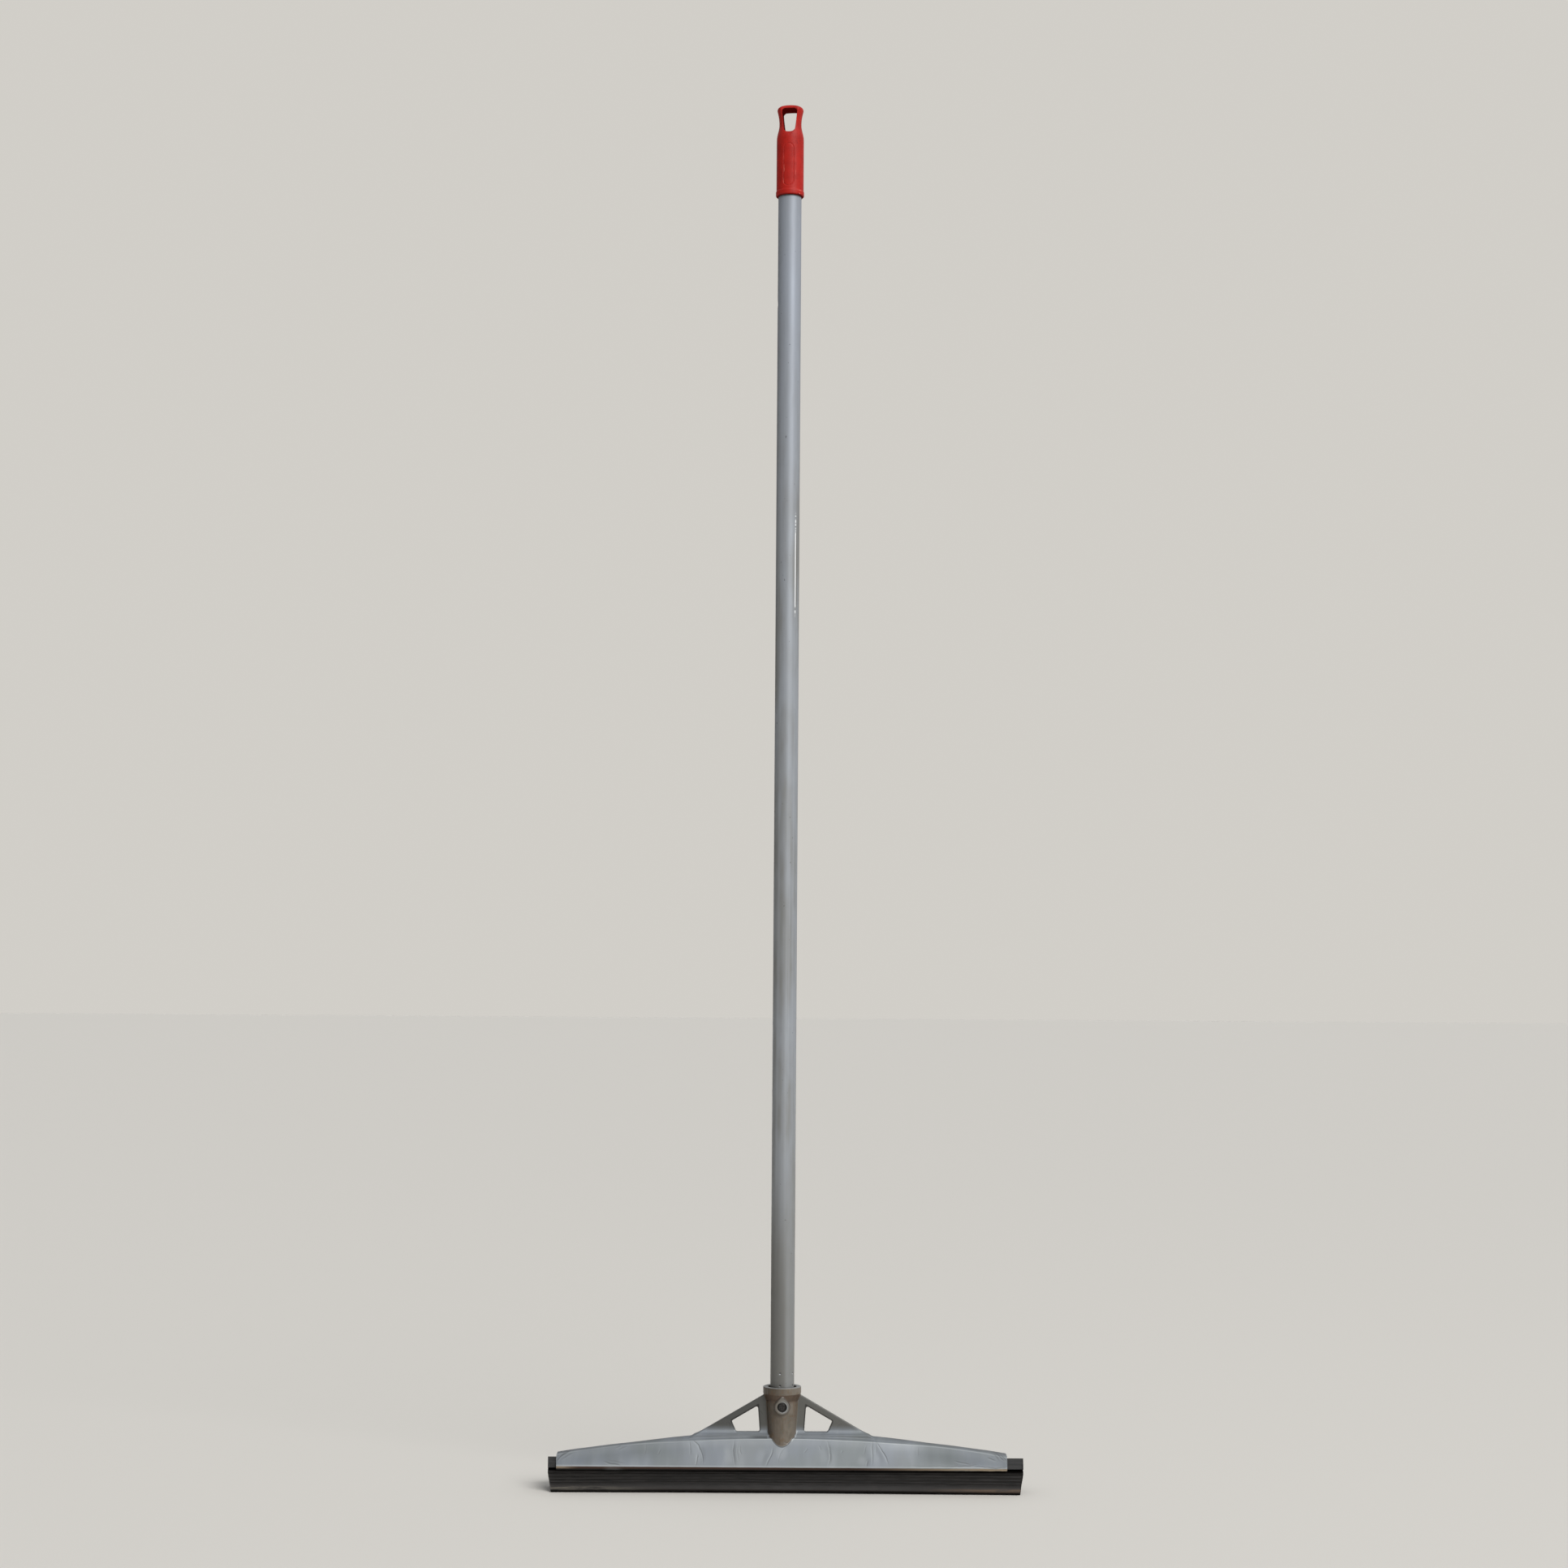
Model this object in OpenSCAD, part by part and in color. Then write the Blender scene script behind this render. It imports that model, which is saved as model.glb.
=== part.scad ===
// Floor squeegee: a moulded head that holds a double-lip rubber, on a screw-in tube handle.
// The origin is on the floor under the handle. X runs along the rubber, Z runs up the
// handle, and the clamp screw faces -Y.

/* [Rubber] */
// Length of the rubber
rubber_len = 435; // [300:1:640]
// How far the rubber sits off centre in its channel
rubber_shift = 3.6; // [-8:0.1:8]
// Height of the lips, from the floor to the underside of the head
lip_h = 20.9; // [16:0.1:30]
// Thickness of one lip
lip_t = 3.2; // [2:0.1:4.4]
// How far the tip of each lip flares out
lip_flare = 2.4; // [0:0.1:5]
// Thickness of the base strip that lies in the channel
base_t = 4.2; // [3:0.1:6]
// Depth of the shoulder bead under the head
bead_h = 3.5; // [2:0.1:5]
// Spacing of the long ribs on the lips
rib_pitch = 2.9; // [2:0.1:3.6]
// How far the ribs stand out
rib_rise = 0.5; // [0.2:0.1:1]
// How far each end of the rubber slants in at the floor
end_slant = 3; // [0:0.5:8]

/* [Head] */
// Length of the moulded head
head_len = 412; // [300:1:620]
// Depth of the head over its skirts
head_depth = 44; // [40:0.5:56]
// Lean of the skirts from upright, in degrees
skirt_lean = 28; // [22:1:32]
// Wall of the moulding
wall = 3; // [2:0.1:3.6]
// Thickness of the two lips that hold the rubber up
flange_t = 1.5; // [1:0.1:2.5]
// Width of the slot between those lips
slot_w = 25.6; // [22:0.1:30]
// Height of the ridge over the underside of the head, in the middle
ridge_h = 31.1; // [29:0.1:40]
// How far the ridge drops towards the ends
ridge_drop = 18.4; // [6:0.1:19]
// How far the shoulders' peak lies below the ridge, in the middle
shoulder_step = 0.5; // [0.3:0.1:3]
// How far the shoulders drop towards the ends
shoulder_drop = 11.1; // [4:0.1:16]
// Fall of each shoulder towards its skirt, in degrees
shoulder_fall = 20; // [8:1:24]
// How far each end of the head leans in at the top
end_lean = 2.5; // [0:0.1:6]
// Thickness of the cross ribs inside
cross_rib_t = 2.2; // [1.5:0.1:3]
// Number of cross ribs on each side of the socket
cross_ribs = 4; // [2:1:7]

/* [Socket] */
// Height of the socket's mouth over the underside of the head
socket_h = 73.6; // [66:0.1:90]
// Diameter of the socket under its collar
socket_d = 27; // [26:0.1:30]
// Diameter of the socket where it meets the head
socket_foot_d = 24.8; // [24.4:0.1:30]
// Diameter of the collar
collar_d = 35; // [33:0.1:40]
// Height of the collar
collar_h = 6.1; // [4:0.1:10]
// Height of the cone under the collar
cone_h = 6.1; // [4:0.1:10]
// Gap all round the tube in the mouth
mouth_gap = 2.15; // [1:0.05:2.5]
// Depth of the wide mouth
mouth_depth = 8.8; // [6:0.1:10]
// Floor under the socket's bore
floor_t = 3; // [2:0.1:4]

/* [Clamp screw] */
// Height of the screw below the socket's mouth
screw_drop = 17; // [15:0.1:20]
// Outer diameter of the screw's boss
boss_d = 13.8; // [12:0.1:15]
// Distance of the boss's face from the handle's axis
boss_reach = 17; // [15:0.1:18]
// Diameter of the recess that takes the screw's head
recess_d = 8.8; // [8:0.1:9.5]
// Diameter of the screw's head
screw_head_d = 7.2; // [6:0.1:7.8]
// Thickness of the screw's head
screw_head_t = 1.4; // [1:0.1:2]
// Diameter of the screw's shank
screw_d = 4; // [3:0.1:5]

/* [Gussets] */
// Thickness of the gusset web
gusset_t = 5; // [3:0.1:7]
// Slope of the gussets' edges, in degrees
gusset_slope = 30; // [27:1:33]
// How far below the socket's mouth the edge lines meet the collar
gusset_drop = 8.1; // [7:0.1:12]
// Lean of a window's inner edge, and of its outer edge
window_lean = [1.8, 4.4]; // [0:0.1:8]
// Radius that runs each gusset into the ridge
gusset_fillet = 28; // [10:1:40]
// Radius along the foot of the web
foot_fillet = 6.5; // [5:0.1:8]
// Width of the web's raised foot
foot_w = 12; // [9:0.1:14]
// Width of the strut above each window
strut_w = 5.7; // [5:0.1:9]
// Land between the socket and each window
window_land = 8; // [6:0.1:11]
// Distance of each window's outer corner from the middle
window_reach = 46.5; // [40:0.5:50]
// Corner radius of the windows
window_r = 1.5; // [1:0.1:3]
// Height of the windows over the foot of the web
window_lift = 2.1; // [1.6:0.1:4]

/* [Handle] */
// Outer diameter of the tube
tube_d = 22; // [21.6:0.1:22.4]
// Wall of the tube
tube_wall = 0.8; // [0.6:0.1:1.2]
// Length of the tube
tube_len = 1174; // [700:1:1500]
// Length of the screw end that enters the socket
thread_len = 33; // [26:0.5:35]
// Outer diameter of the screw end
thread_d = 21.5; // [20.5:0.1:21.8]
// Length of the plug inside the tube
shank_len = 24; // [20:0.5:40]
// Thickness of the plug's flange
plug_flange_t = 2; // [1:0.1:3]
// Number of punch marks in each row that hold the plug
punch_marks = 5; // [3:1:8]
// Diameter of a punch mark
punch_d = 2.6; // [1.5:0.1:4]
// Turn of the first punch marks from the front, in degrees
punch_turn = -11.5; // [-36:0.5:36]

/* [Grip] */
// Length of the grip
grip_len = 88; // [80:0.5:120]
// Depth of the grip's bore, over the tube
grip_bore_len = 51; // [40:0.5:54]
// Diameter of the barrel
barrel_d = 25.8; // [25.2:0.1:30]
// Diameter of the rim at the lower end
rim_d = 26.8; // [25.4:0.1:31]
// Height of that rim
rim_h = 5.5; // [3:0.1:8]
// Width of the waist at the hanging hole
waist_w = 21; // [19:0.1:24]
// Width of the flared top
top_w = 25; // [23:0.1:28]
// Front to back thickness at the hanging hole
eye_t = 18; // [14:0.1:22]
// Height of the hanging hole
eye_h = 22.8; // [16:0.1:26]
// Width of the hanging hole at its top
eye_top_w = 15; // [10:0.1:16]
// Width of the hanging hole at its bottom
eye_bottom_w = 9.8; // [7:0.1:14]
// Radius of the hanging hole's upper corners, and of its lower ones
eye_r = [3, 4.2]; // [1:0.1:4.4]
// Width of the outlined panel on the barrel
panel_w = 10.7; // [6:0.1:14]
// Depth of the panel's outline groove
panel_groove = 0.4; // [0.2:0.1:0.8]

/* [Fits] */
// Running clearance on a radius
run_gap = 0.05; // [0.02:0.01:0.1]
// Clearance between pieces that lie beside each other
slide_gap = 0.3; // [0.2:0.05:0.6]

/* [Hidden] */
$fn = 72;
fine = 720;      // facets on the long, shallow arcs
arc_steps = 6;   // points on a rounded corner
far = 400;       // reach of the cutting solids

// Rubber
rubber_half = rubber_len / 2;
neck_y = slot_w / 2 - slide_gap;
neck_top = lip_h + flange_t + slide_gap;
base_top = neck_top + base_t;
bead_y = neck_y + lip_t + 0.6;
lip_y = bead_y - 0.8;
bead_low = lip_h - slide_gap - bead_h;
ribs = 3;
tip_low = 2;
tip_t = 1.7;
tip_y = lip_y + lip_flare;
flare_top = bead_low - (ribs + 0.3) * rib_pitch;

// Head
knee_h = 3.2;
knee_z = lip_h + knee_h;
knee_in = 2.6;
ridge_z = lip_h + ridge_h;
shoulder_z = ridge_z - shoulder_step;
half_len = head_len / 2;
ridge_r = arc_radius(half_len, ridge_drop);
shoulder_r = arc_radius(half_len, shoulder_drop);
wall_y = wall / cos(skirt_lean);
rib_low = base_top + slide_gap;
rib_pitch_x = (half_len - 16 - socket_foot_d) / (cross_ribs - 0.5);

// Socket
mouth_z = lip_h + socket_h;
collar_z = mouth_z - collar_h;
cone_z = collar_z - cone_h;
mouth_d = tube_d + 2 * mouth_gap;
seat_z = mouth_z - mouth_depth;
bore_d = thread_d + 2 * run_gap;
plug_z = seat_z + slide_gap;
plug_low = plug_z - thread_len;
bore_low = plug_low - 2;
stub_low = bore_low - floor_t;
sunk = 0.5;
socket_low = knee_z + (head_depth - socket_foot_d) / 2 / tan(skirt_lean) - sunk;

// Clamp screw
screw_z = mouth_z - screw_drop;
recess_depth = 2.6;
recess_y = boss_reach - recess_depth;
screw_tip_y = thread_d / 2 + 2 * run_gap;
boss_tip_r = 2.2;
boss_lean = 40;  // turn at which the boss's flanks leave its round part
boss_tip_z = screw_z + (boss_d / 2 - boss_tip_r) / sin(boss_lean);

// Gussets: each upper edge is the line where the dot product with edge_n is edge_c
edge_n = [sin(gusset_slope), cos(gusset_slope)];
edge_c = edge_n * [collar_d / 2, mouth_z - gusset_drop];
fillet_z = crest_z(fillet_x(shoulder_z)) + gusset_fillet - 0.3;
fillet_c = [fillet_x(fillet_z - gusset_fillet), fillet_z];
foot_z = shoulder_z - 0.6;
window_low = foot_z + window_lift;
window_in = socket_foot_d / 2 + window_land;

// Handle
tube_low = plug_z + plug_flange_t;
tube_top = tube_low + tube_len;
tube_bore_d = tube_d - 2 * tube_wall;
shank_d = tube_bore_d - 2 * run_gap;
punch_rows = [tube_low + shank_len / 3, tube_low + shank_len * 0.8];

// Grip
grip_low = tube_top - grip_bore_len;
grip_top = grip_low + grip_len;
eye_top = grip_top - 4;
eye_low = eye_top - eye_h;
flare_z = grip_top - 3.2;
waist_z = grip_top - 18;
barrel_top = grip_low + grip_bore_len + 4;
panel_low = grip_low + rim_h + 2.5;
panel_high = barrel_top - 5.5;
bends = 8;       // points on each long curve of the grip

// Radius of the arc that drops by `drop` over `half`
function arc_radius(half, drop) = (half * half / drop + drop) / 2;

// Height of the roof's middle line at a distance x from the centre
function arc_z(top, r, x) = top - r + sqrt(r * r - x * x);
function crest_z(x) = min(arc_z(ridge_z, ridge_r, x), arc_z(shoulder_z, shoulder_r, x));

// Distance from the centre at which a gusset's fillet touches a level line at height z
function fillet_x(z) = (edge_c + gusset_fillet - edge_n[1] * (z + gusset_fillet)) / edge_n[0];

// Distance of the skirt's outer face from the middle plane at height z
function skirt_y(z) = head_depth / 2 - (z - knee_z) * tan(skirt_lean);

// Points of a closed outline with its corners rounded to the radius r, or to a radius each
function unit(v) = v / norm(v);
function corner(a, b, c, r) =
    let (u = unit(a - b), v = unit(c - b),
         half = acos(u * v) / 2,
         centre = b + unit(u + v) * r / sin(half),
         from = b + u * r / tan(half) - centre,
         to = b + v * r / tan(half) - centre)
    [for (i = [0:arc_steps]) centre + r * unit(from * (1 - i / arc_steps) + to * i / arc_steps)];
function rounded(p, r) =
    let (n = len(p))
    [for (i = [0:n - 1]) each corner(p[(i + n - 1) % n], p[i], p[(i + 1) % n], is_list(r) ? r[i] : r)];

// Points of a circular arc from angle a to angle b
function arc(centre, r, a, b, steps = 8) =
    [for (i = [0:steps]) centre + r * [cos(a + (b - a) * i / steps), sin(a + (b - a) * i / steps)]];

// Points p mirrored over the second axis, in reverse order
function mirrored(p) = [for (i = [len(p) - 1:-1:0]) [-p[i][0], p[i][1]]];

// Extrudes an outline drawn in Y and Z along X, between two ends
module along_x(from, to) {
    translate([from, 0, 0]) rotate([90, 0, 90]) linear_extrude(to - from) children();
}

// Extrudes an outline drawn in X and Z along Y, by t each way
module along_y(t) {
    translate([0, t, 0]) rotate([90, 0, 0]) linear_extrude(2 * t) children();
}

// Cylinder along Y from distance a to distance b in front of the axis
module front_cylinder(d, a, b, z) {
    translate([0, -a, z]) rotate([90, 0, 0]) cylinder(d = d, h = b - a);
}

// Solid under the ridge and both shoulders, with every arc pulled in by `inset`
module under_roof(inset) {
    intersection() {
        translate([0, 0, ridge_z - ridge_r]) rotate([90, 0, 0])
            cylinder(r = ridge_r - inset, h = 2 * head_depth, center = true, $fn = fine);
        tilted_shoulder(inset, 1);
        tilted_shoulder(inset, -1);
    }
}

module tilted_shoulder(inset, side) {
    translate([0, 0, shoulder_z]) rotate([-side * shoulder_fall, 0, 0])
        translate([0, 0, -shoulder_r]) rotate([90, 0, 0])
            cylinder(r = shoulder_r - inset, h = 4 * head_depth, center = true, $fn = fine);
}

// Outline of the head across the rubber
module head_section() {
    half = [[head_depth / 2 - knee_in, lip_h], [head_depth / 2, knee_z], [skirt_y(ridge_z + 2), ridge_z + 2]];
    polygon(concat(half, mirrored(half)));
}

// Outline of the hollow above the two lips that hold the rubber
module hollow_section() {
    low = lip_h + flange_t;
    half = [[skirt_y(low) - wall_y, low], [skirt_y(ridge_z) - wall_y, ridge_z]];
    polygon(concat(half, mirrored(half)));
}

module head_ends() {
    half = [[half_len, 0], [half_len, knee_z], [half_len - end_lean, ridge_z - ridge_drop],
            [half_len - end_lean, ridge_z + 2]];
    along_y(head_depth) polygon(concat(half, mirrored(half)));
}

module head_shell() {
    intersection() {
        along_x(-half_len, half_len) head_section();
        under_roof(0);
        head_ends();
    }
}

module head_hollow() {
    intersection() {
        along_x(-far, far) hollow_section();
        under_roof(wall);
    }
    along_x(-far, far) translate([-slot_w / 2, 0]) square([slot_w, lip_h + flange_t + 1]);
}

// Cross ribs that press on the rubber's base strip
module cross_rib(x) {
    half = [[skirt_y(knee_z) - wall_y / 2, knee_z], [skirt_y(ridge_z) - wall_y / 2, ridge_z]];
    intersection() {
        translate([x - cross_rib_t / 2, -head_depth, rib_low]) cube([cross_rib_t, 2 * head_depth, far]);
        along_x(-half_len, half_len) polygon(concat(half, mirrored(half)));
        under_roof(wall / 2);
    }
}

// Front outline of the web: two sloping edges that run into the ridge with a fillet
module gusset_outline() {
    low = shoulder_z - shoulder_drop / 2;
    half = concat([[fillet_c[0], low]],
                  arc(fillet_c, gusset_fillet, 270, 270 - gusset_slope),
                  [[socket_d / 4, (edge_c - edge_n[0] * socket_d / 4) / edge_n[1]]]);
    polygon(concat(half, mirrored(half)));
}

// Section of the web's raised foot, whose level edge stays clear of the falling shoulders
module foot_section() {
    cy = gusset_t / 2 + foot_fillet;
    run = cy - foot_w / 2;
    rise = sqrt(foot_fillet * foot_fillet - run * run);
    half = concat([[foot_w / 2, shoulder_z - shoulder_drop / 2]],
                  arc([cy, foot_z + rise], foot_fillet, 180 + atan2(rise, run), 180));
    polygon(concat(half, mirrored(half)));
}

module window_outline() {
    top_z = function(x) (edge_c - strut_w - edge_n[0] * x) / edge_n[1];
    in_top = window_in + window_lean[0];
    out_low = window_reach - window_lean[1];
    polygon(rounded([[window_in, window_low], [in_top, top_z(in_top)],
                     [window_reach, top_z(window_reach)], [out_low, window_low]], window_r));
}

module web_plate() {
    along_y(gusset_t / 2) gusset_outline();
}

module web_foot() {
    intersection() {
        along_y(head_depth / 2) gusset_outline();
        along_x(-fillet_c[0], fillet_c[0]) foot_section();
    }
}

module windows() {
    along_y(head_depth) window_outline();
    along_y(head_depth) mirror([1, 0]) window_outline();
}

module socket_solid() {
    translate([0, 0, collar_z]) cylinder(d = collar_d, h = collar_h);
    translate([0, 0, cone_z]) cylinder(d1 = socket_d, d2 = collar_d, h = cone_h);
    translate([0, 0, socket_low]) cylinder(d1 = socket_foot_d, d2 = socket_d, h = cone_z - socket_low);
}

// Teardrop boss that carries the clamp screw
module screw_boss() {
    r = boss_d / 2;
    root = thread_d / 2 + 1;
    away = [cos(boss_lean), sin(boss_lean)];
    half = [[0, screw_z] + r * away, [0, boss_tip_z] + boss_tip_r * away];
    translate([0, -root, 0]) rotate([90, 0, 0]) linear_extrude(boss_reach - root) {
        translate([0, screw_z]) circle(r = r);
        translate([0, boss_tip_z]) circle(r = boss_tip_r);
        polygon(concat(half, mirrored(half)));
    }
}

module head_frame() {
    color([0.55, 0.57, 0.58]) difference() {
        union() {
            difference() {
                union() {
                    head_shell();
                    web_foot();
                    web_plate();
                }
                head_hollow();
            }
            for (side = [-1, 1], i = [0:cross_ribs - 1])
                cross_rib(side * (socket_foot_d + i * rib_pitch_x));
            socket_solid();
            screw_boss();
        }
        windows();
        translate([0, 0, seat_z]) cylinder(d = mouth_d, h = far);
        translate([0, 0, bore_low]) cylinder(d = bore_d, h = far);
        translate([0, 0, stub_low - far]) cylinder(d = socket_foot_d - 2 * wall, h = far);
        front_cylinder(recess_d, recess_y, far, screw_z);
        front_cylinder(screw_d + 2 * run_gap, 0, far, screw_z);
    }
}

// Section of the rubber: a base strip whose sides follow the skirts, a neck that passes
// between the head's lips, and a ribbed, flared lip on each side
module rubber_section() {
    gap = wall_y + slide_gap / cos(skirt_lean);
    soft = 0.4;
    base = [[skirt_y(base_top) - gap, base_top], [skirt_y(neck_top) - gap, neck_top], [neck_y, neck_top]];
    bead = [[neck_y, lip_h - slide_gap], [bead_y, lip_h - slide_gap - soft], [bead_y, bead_low + soft],
            [lip_y, bead_low]];
    rib = [for (i = [1:ribs]) let (z = bead_low - (i - 0.3) * rib_pitch)
        each [[lip_y, z + rib_rise], [lip_y + rib_rise, z], [lip_y, z - rib_rise]]];
    tip = [[lip_y, flare_top], [tip_y, tip_low], [tip_y - soft, 0], [tip_y - soft - tip_t, 0]];
    inside = [[lip_y - lip_t + 2 * soft, flare_top], [lip_y - lip_t, bead_low], [neck_y - lip_t, lip_h],
              [neck_y - lip_t, neck_top]];
    half = concat(base, bead, rib, tip, inside);
    polygon(concat(half, mirrored(half)));
}

module rubber_blade() {
    ends = [[rubber_half - end_slant, 0], [rubber_half, bead_low], [rubber_half, base_top]];
    color([0.14, 0.14, 0.14]) intersection() {
        along_x(rubber_shift - rubber_half, rubber_shift + rubber_half) rubber_section();
        translate([rubber_shift, 0, 0]) along_y(head_depth) polygon(concat(ends, mirrored(ends)));
    }
}

module thread_plug() {
    lead = 2;
    core_d = thread_d - 7;
    color([0.2, 0.2, 0.21]) difference() {
        union() {
            translate([0, 0, plug_low]) cylinder(d1 = thread_d - 2 * lead, d2 = thread_d, h = lead);
            translate([0, 0, plug_low + lead]) cylinder(d = thread_d, h = thread_len - lead);
            translate([0, 0, plug_z]) cylinder(d = tube_d, h = plug_flange_t);
            translate([0, 0, tube_low]) cylinder(d = shank_d, h = shank_len);
        }
        translate([0, 0, plug_low - 1]) cylinder(d = core_d, h = thread_len + plug_flange_t + shank_len - 3);
    }
}

module handle_tube() {
    sink = tube_wall / 2;
    color([0.6, 0.62, 0.64]) difference() {
        translate([0, 0, tube_low]) cylinder(d = tube_d, h = tube_len);
        translate([0, 0, tube_low - 1]) cylinder(d = tube_bore_d, h = tube_len + 2);
        for (z = punch_rows, i = [0:punch_marks - 1])
            rotate([0, 0, i * 360 / punch_marks + punch_turn - 90])
                translate([tube_d / 2 + punch_d / 2 - sink, 0, z]) sphere(d = punch_d, $fn = 24);
    }
}

// Curve from the top of the barrel in to the distance `to` at the waist
function neck_curve(to) =
    [for (i = [0:bends])
        [barrel_d / 2 + (to - barrel_d / 2) * (1 - cos(i * 180 / bends)) / 2,
         barrel_top + (waist_z - barrel_top) * i / bends]];

// Grip's outline from the front, turned about the handle's axis
module grip_turned() {
    rim_r = rim_d / 2;
    barrel_r = barrel_d / 2;
    top_r = top_w / 2;
    flare_low = flare_z - 1.5;
    rim = [[0, grip_low], [rim_r - 0.8, grip_low], [rim_r, grip_low + 1], [rim_r, grip_low + rim_h - 1]];
    barrel = [[barrel_r, grip_low + rim_h]];
    neck = neck_curve(waist_w / 2);
    flare = [for (i = [1:bends])
        [waist_w / 2 + (top_r - waist_w / 2) * pow(i / bends, 2),
         waist_z + (flare_low - waist_z) * i / bends]];
    dome = [[top_r, flare_z - 0.5], [top_r - 0.5, flare_z + 0.8], [top_r - 2, flare_z + 1.9],
            [top_r / 2, grip_top - 0.3], [0, grip_top]];
    rotate_extrude() polygon(concat(rim, barrel, neck, flare, dome));
}

// Grip's outline from the side: the hanging end is flattened
module grip_side() {
    low = [[rim_d / 2 + 1, grip_low - 1], [rim_d / 2 + 1, barrel_top - 1]];
    high = [[eye_t / 2, grip_top - 4], [eye_t / 2 - 1.5, grip_top + 1]];
    half = concat(low, neck_curve(eye_t / 2), high);
    along_x(-rim_d, rim_d) polygon(concat(half, mirrored(half)));
}

module hanging_eye() {
    along_y(rim_d) polygon(rounded([[-eye_bottom_w / 2, eye_low], [-eye_top_w / 2, eye_top],
                                    [eye_top_w / 2, eye_top], [eye_bottom_w / 2, eye_low]],
                                   [eye_r[1], eye_r[0], eye_r[0], eye_r[1]]));
}

// Groove that outlines the panel on the front and the back of the barrel
module panel_groove_cut(side) {
    reach = barrel_d / 2;
    r = panel_w / 2;
    line = 0.8;
    intersection() {
        translate([0, 0, panel_low]) difference() {
            cylinder(r = reach + 1, h = panel_high - panel_low);
            translate([0, 0, -1]) cylinder(r = reach - panel_groove, h = panel_high - panel_low + 2);
        }
        translate([0, side * reach / 2, 0]) along_y(reach / 2) difference() {
            panel_outline(r);
            panel_outline(r - line);
        }
    }
}

module panel_outline(r) {
    inset = panel_w / 2 - r;
    translate([0, panel_low + panel_w / 2]) circle(r = r);
    translate([0, panel_high - panel_w / 2]) circle(r = r);
    translate([-r, panel_low + panel_w / 2]) square([2 * r, panel_high - panel_low - panel_w]);
}

module hanging_grip() {
    color([0.75, 0.17, 0.15]) difference() {
        intersection() {
            grip_turned();
            grip_side();
        }
        translate([0, 0, grip_low - 1]) cylinder(d = tube_d + 2 * run_gap, h = grip_bore_len + 1 + slide_gap);
        hanging_eye();
        panel_groove_cut(1);
        panel_groove_cut(-1);
    }
}

module clamp_screw() {
    cross_w = 1.1;
    cross_l = screw_head_d * 0.6;
    head_y = recess_y + screw_head_t;
    color([0.25, 0.25, 0.26]) difference() {
        union() {
            front_cylinder(screw_d, screw_tip_y, recess_y, screw_z);
            front_cylinder(screw_head_d, recess_y, head_y, screw_z);
        }
        for (turn = [0, 90])
            translate([0, -head_y, screw_z]) rotate([0, turn, 0])
                cube([cross_l, screw_head_t, cross_w], center = true);
    }
}

head_frame();
rubber_blade();
thread_plug();
handle_tube();
hanging_grip();
clamp_screw();
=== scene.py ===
# Floor squeegee: fine moulded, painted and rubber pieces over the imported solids, on a pale floor
import math
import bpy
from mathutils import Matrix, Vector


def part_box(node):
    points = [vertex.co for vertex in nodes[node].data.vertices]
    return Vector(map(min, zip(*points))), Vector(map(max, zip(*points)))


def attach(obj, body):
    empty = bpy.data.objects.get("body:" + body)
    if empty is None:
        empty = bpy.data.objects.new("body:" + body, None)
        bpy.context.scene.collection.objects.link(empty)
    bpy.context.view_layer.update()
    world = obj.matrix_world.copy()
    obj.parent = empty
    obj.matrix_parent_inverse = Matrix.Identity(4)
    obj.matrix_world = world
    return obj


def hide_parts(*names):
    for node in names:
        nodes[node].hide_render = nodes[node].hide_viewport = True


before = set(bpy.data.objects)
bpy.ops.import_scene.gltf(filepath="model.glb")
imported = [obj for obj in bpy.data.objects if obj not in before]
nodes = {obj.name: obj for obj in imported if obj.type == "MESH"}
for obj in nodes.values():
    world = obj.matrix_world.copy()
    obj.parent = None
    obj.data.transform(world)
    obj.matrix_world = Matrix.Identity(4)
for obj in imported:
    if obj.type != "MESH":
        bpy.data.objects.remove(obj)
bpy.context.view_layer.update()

from types import SimpleNamespace

import bmesh
import bpy
from mathutils import Matrix, Vector, noise

mm = 0.001
scene = bpy.context.scene
scene.view_settings.view_transform = "Standard"


def srgb(red, green, blue):  # screen colour to the linear one that shaders take
    return tuple(((c / 255 + 0.055) / 1.055) ** 2.4 for c in (red, green, blue)) + (1.0,)


# building of shaders
def feed(tree, socket, value):
    if isinstance(value, bpy.types.NodeSocket):
        tree.links.new(value, socket)
    else:
        socket.default_value = value


def calc(tree, operation, *values):
    node = tree.nodes.new("ShaderNodeMath")
    node.operation = operation
    for socket, value in zip(node.inputs, values):
        feed(tree, socket, value)
    return node.outputs[0]


def times(tree, *factors):
    result = factors[0]
    for factor in factors[1:]:
        result = calc(tree, "MULTIPLY", result, factor)
    return result


def ranged(tree, value, low, high, toLow=0.0, toHigh=1.0, soft=True):
    node = tree.nodes.new("ShaderNodeMapRange")
    node.interpolation_type = "SMOOTHSTEP" if soft else "LINEAR"
    node.clamp = not soft  # a soft step stays within its ends by itself
    names = ("Value", "From Min", "From Max", "To Min", "To Max")
    for name, number in zip(names, (value, low, high, toLow, toHigh)):
        feed(tree, node.inputs[name], number)
    return node.outputs[0]


def near(tree, value, centre, inner, outer, strength=1.0):  # strongest at a centre, and nothing beyond outer
    away = calc(tree, "ABSOLUTE", calc(tree, "SUBTRACT", value, centre))
    return ranged(tree, away, inner, outer, strength, 0.0)


def mixed(tree, factor, first, second):
    node = tree.nodes.new("ShaderNodeMix")
    node.data_type = "RGBA"
    node.clamp_factor = True
    feed(tree, node.inputs["Factor"], factor)
    feed(tree, node.inputs[6], first)
    feed(tree, node.inputs[7], second)
    return node.outputs[2]


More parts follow.
